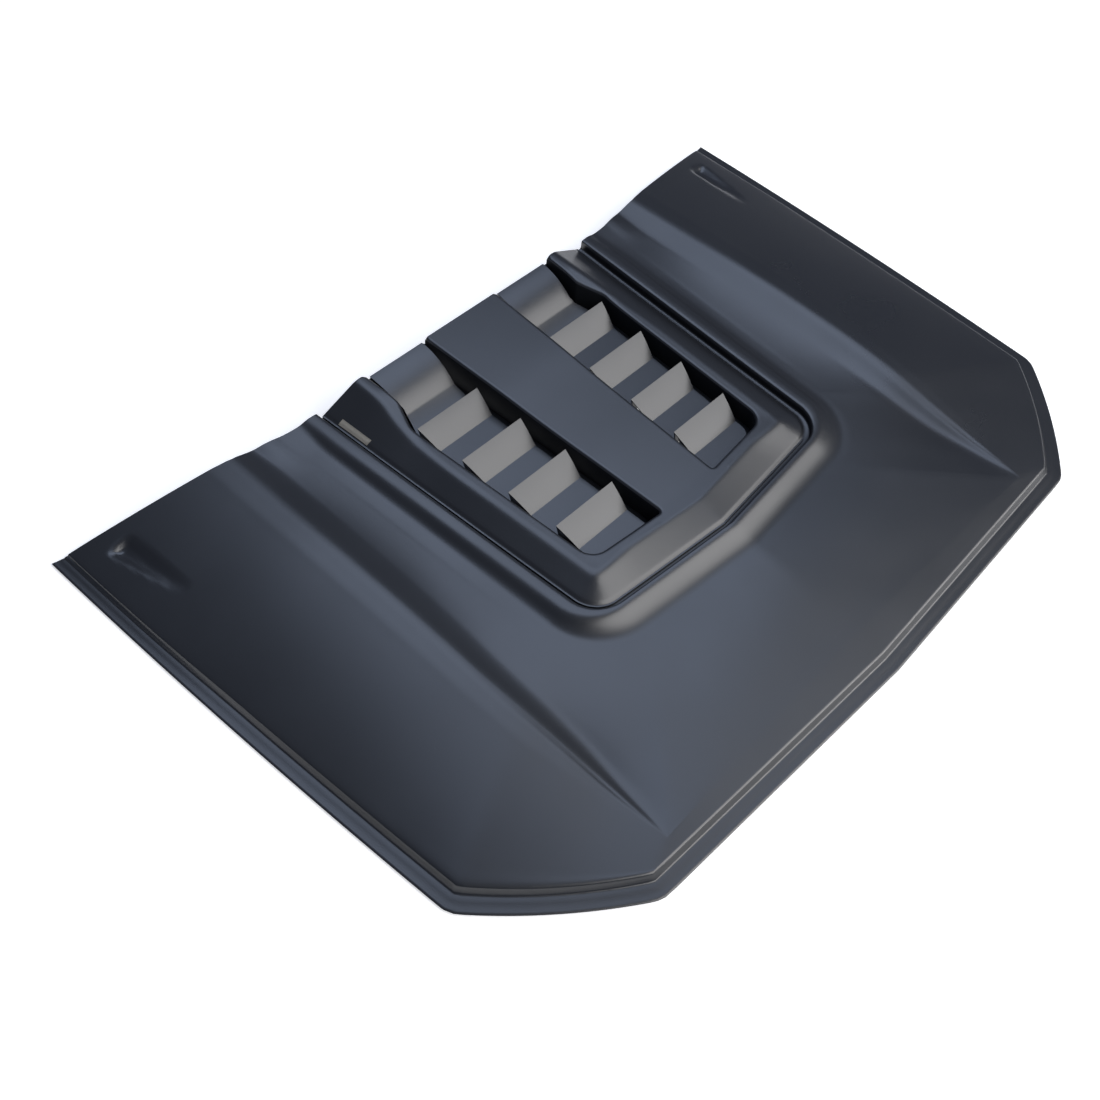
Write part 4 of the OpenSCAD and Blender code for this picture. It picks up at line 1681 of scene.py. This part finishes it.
    def loop(self, grow: float, lean: float = 0.0, rear: bool = False) -> np.ndarray:
        """Closed loop inside the opening, ended ahead of the insert's rear edge.

        Args:
            grow: Distance by which it is smaller than the bank's outline.
            lean: Distance by which it also stays clear of the bar and of the side.
            rear: True if it is smaller at the rear as well.

        Returns:
            Points of the loop.
        """
        path = self.insert.opening(-self.gap - grow, lean)
        end = LAYOUT.insert_rear - self.gap - (grow if rear else 0)
        kept = path[path[:, 1] < end - 0.5]
        return np.concatenate([[[kept[0][0], end]], kept, [[kept[-1][0], end]]])

    def leaning(self, name: str, grow: float, material: bpy.types.Material,
                past: float = 0.0) -> bpy.types.Object:
        """Prism of the bank's outline, whose ends lean in towards its base.

        Args:
            name: Its name.
            grow: Distance by which it is smaller than the bank's outline.
            material: Its material.
            past: Distance by which it is higher and deeper.

        Returns:
            The prism.
        """
        return self.prism(name, self.loop(grow, self.lean, True), self.low_z - past, self.high_z + past,
                          material, self.loop(grow, 0.0, True))

    def pieces(self, material: bpy.types.Material) -> list[bpy.types.Object]:
        """Louvres, lug, wall and rear tab of the +X bank.

        Args:
            material: Their material.

        Returns:
            The four of them.
        """
        strip, body = self.strip(material)
        foot, thin = LAYOUT.tape_t + self.insert.wall_foot, self.louvre_t
        blades = self.cut(strip, self.leaning("trim", 0.0, material), "INTERSECT")
        lug = self.prism("lug", self.loop(-self.flange, 0.0), foot - thin, foot - 0.02, material)
        self.cut(lug, self.prism("trim", self.loop(thin, self.lean * self.lug_lean, True), 0, 100, material),
                 "DIFFERENCE")
        wall = self.leaning("wall", -self.skin, material)
        self.cut(wall, self.leaning("trim", thin, material, 1.0), "DIFFERENCE")
        self.cut(wall, body, "INTERSECT")
        path = self.insert.opening(-0.4)
        outer, inner, rear = path[0][0], path[-1][0], LAYOUT.insert_rear - self.gap
        tab = self.prism("tab", np.array([[outer, rear - self.tab_t], [outer, rear], [inner, rear],
                                          [inner, rear - self.tab_t]]), foot + 0.5, 60, material)
        return [blades, lug, wall, tab]

    def build(self) -> None:
        """Build both banks, one as the mirror image of the other."""
        material = self.finish.material()
        pieces = self.pieces(material)
        bm = bmesh.new()
        for piece in pieces:
            bm.from_mesh(piece.data)
        bmesh.ops.recalc_face_normals(bm, faces=bm.faces)
        meshes = {}
        for side in ("left", "right"):
            meshes[side] = bpy.data.meshes.new(f"{Part.LOUVRES.title}_{side}")
            bm.to_mesh(meshes[side])
            bmesh.ops.scale(bm, verts=bm.verts, vec=(-1, 1, 1))
            bmesh.ops.reverse_faces(bm, faces=bm.faces)
        bm.free()
        for piece in pieces:
            bpy.data.objects.remove(piece)
        for side, mesh in meshes.items():
            mesh.shade_smooth()
            mesh.set_sharp_from_angle(angle=math.radians(self.sharp))
            mesh.materials.clear()
            mesh.materials.append(material)
            settle_piece(link(mesh.name, mesh), Part.LOUVRES, f"louvre_bank_{side}")


@dataclass
class Fixings:
    """The push nuts and the tapes, whose solids stay and take their finishes."""

    nuts: SpringSteel
    tape: FoamTape

    def dress(self) -> None:
        """Give each piece its finish."""
        finishes = {"tape": self.tape.material(), "push": self.nuts.material()}
        for name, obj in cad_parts.items():
            material = finishes.get(name.split("_")[0])
            if material is not None:
                obj.data.materials.clear()
                obj.data.materials.append(material)
                log.info("%s: %s", name, material.name)


@dataclass
class Studio:
    """Pale floor, soft lights and the camera."""

    eye: tuple[float, float, float] = (-1.0654, -0.6857, 1.4632)
    turn: tuple[float, float, float] = (37.187, -3.771, -46.651)
    sensor: float = 36.0
    frame_px: float = 1100.0
    focal_px: float = 1300.0
    floor_size: float = 30.0
    floor_glow: float = 0.55
    reach: float = 6.0
    dim: tuple[float, float, float] = (0.10, 0.115, 0.155)
    warm: tuple[float, float, float] = (1.0, 0.99, 0.985)
    cool: tuple[float, float, float] = (0.63, 0.75, 1.0)

    def camera(self) -> None:
        """Place the camera at the photo's viewing angle."""
        data = bpy.data.cameras.new("camera")
        data.sensor_width = self.sensor
        data.lens = self.focal_px / self.frame_px * self.sensor
        data.clip_end = 50
        camera = link("camera", data)
        camera.location = self.eye
        camera.rotation_euler = [math.radians(a) for a in self.turn]
        bpy.context.scene.camera = camera

    def lamp(self, name: str, bearing: float, rise: float, size: tuple[float, float], radiance: float,
             colour: tuple[float, float, float]) -> None:
        """Add a soft elliptical lamp that faces the object.

        Args:
            name: Its name.
            bearing: Degrees from +X towards +Y.
            rise: Degrees above the floor.
            size: Its width and height.
            radiance: Its brightness, where 1 is white.
            colour: Its colour.
        """
        turn, tilt = math.radians(bearing), math.radians(rise)
        way = Vector((math.cos(turn) * math.cos(tilt), math.sin(turn) * math.cos(tilt), math.sin(tilt)))
        data = bpy.data.lights.new(name, "AREA")
        data.shape = "ELLIPSE"
        data.size, data.size_y = size
        data.energy = radiance * math.pi * math.pi / 4 * size[0] * size[1]
        data.color = colour
        lamp = link(name, data)
        lamp.location = way * self.reach
        lamp.rotation_euler = (-way).to_track_quat("-Z", "Y").to_euler()
        lamp.visible_camera = False

    def floor(self) -> None:
        """Lay the pale floor, white to the camera and with the object's shadow."""
        material = bpy.data.materials.new("pale_floor")
        material.use_nodes = True
        g = Graph(material.node_tree)
        path = g.node("ShaderNodeLightPath")
        seen = g.term(path, "Is Camera Ray").math(
            "MAXIMUM", g.term(path, "Is Glossy Ray").math("MAXIMUM", g.term(path, "Is Transmission Ray")))
        pale = g.node("ShaderNodeBsdfDiffuse", None, Color=(0.8, 0.8, 0.8, 1))
        glow = g.node("ShaderNodeEmission", None, Color=(1, 1, 1, 1), Strength=seen * self.floor_glow)
        both = g.node("ShaderNodeAddShader")
        g.feed(both.inputs[0], pale)
        g.feed(both.inputs[1], glow)
        g.node("ShaderNodeOutputMaterial", None, Surface=both)
        half = self.floor_size / 2
        mesh = bpy.data.meshes.new("floor")
        corners = [(-half, -half, 0), (half, -half, 0), (half, half, 0), (-half, half, 0)]
        mesh.from_pydata(corners, [], [(0, 1, 2, 3)])
        mesh.materials.append(material)
        link("floor", mesh)

    def world(self) -> None:
        """Set a low, slightly cool surrounding light."""
        world = bpy.data.worlds.new("studio")
        world.use_nodes = True
        g = Graph(world.node_tree)
        path = g.node("ShaderNodeLightPath")
        light = g.blend(g.term(path, "Is Camera Ray"), (*self.dim, 1), (1, 1, 1, 1))
        g.node("ShaderNodeOutputWorld", None, Surface=g.node("ShaderNodeBackground", None, Color=light))
        bpy.context.scene.world = world

    def build(self) -> None:
        """Build the stage."""
        self.camera()
        self.floor()
        self.world()
        self.lamp("front_softbox", -64, 46, (8.1, 5.5), 3.3, self.warm)
        self.lamp("low_strip", -55, 17, (5.5, 2.0), 5.2, self.warm)
        self.lamp("rear_softbox", 46, 64, (5.4, 3.9), 2.0, self.cool)
        bpy.context.scene.view_settings.view_transform = "Standard"


def main() -> None:
    """Build every piece in order."""
    logging.basicConfig(level=logging.INFO, format="%(name)s: %(message)s")
    Studio().build()
    CoverSheet(SatinPlastic("satin_cover")).build()
    insert = VentInsert(SatinPlastic("satin_insert"))
    insert.build()
    BadgePlate(PaleMetal("pale_metal"), insert).build()
    LouvreBank(SatinPlastic("satin_louvres"), insert).build()
    Fixings(SpringSteel("spring_steel"), FoamTape("foam_tape")).dress()


if __name__ == "__main__":
    main()
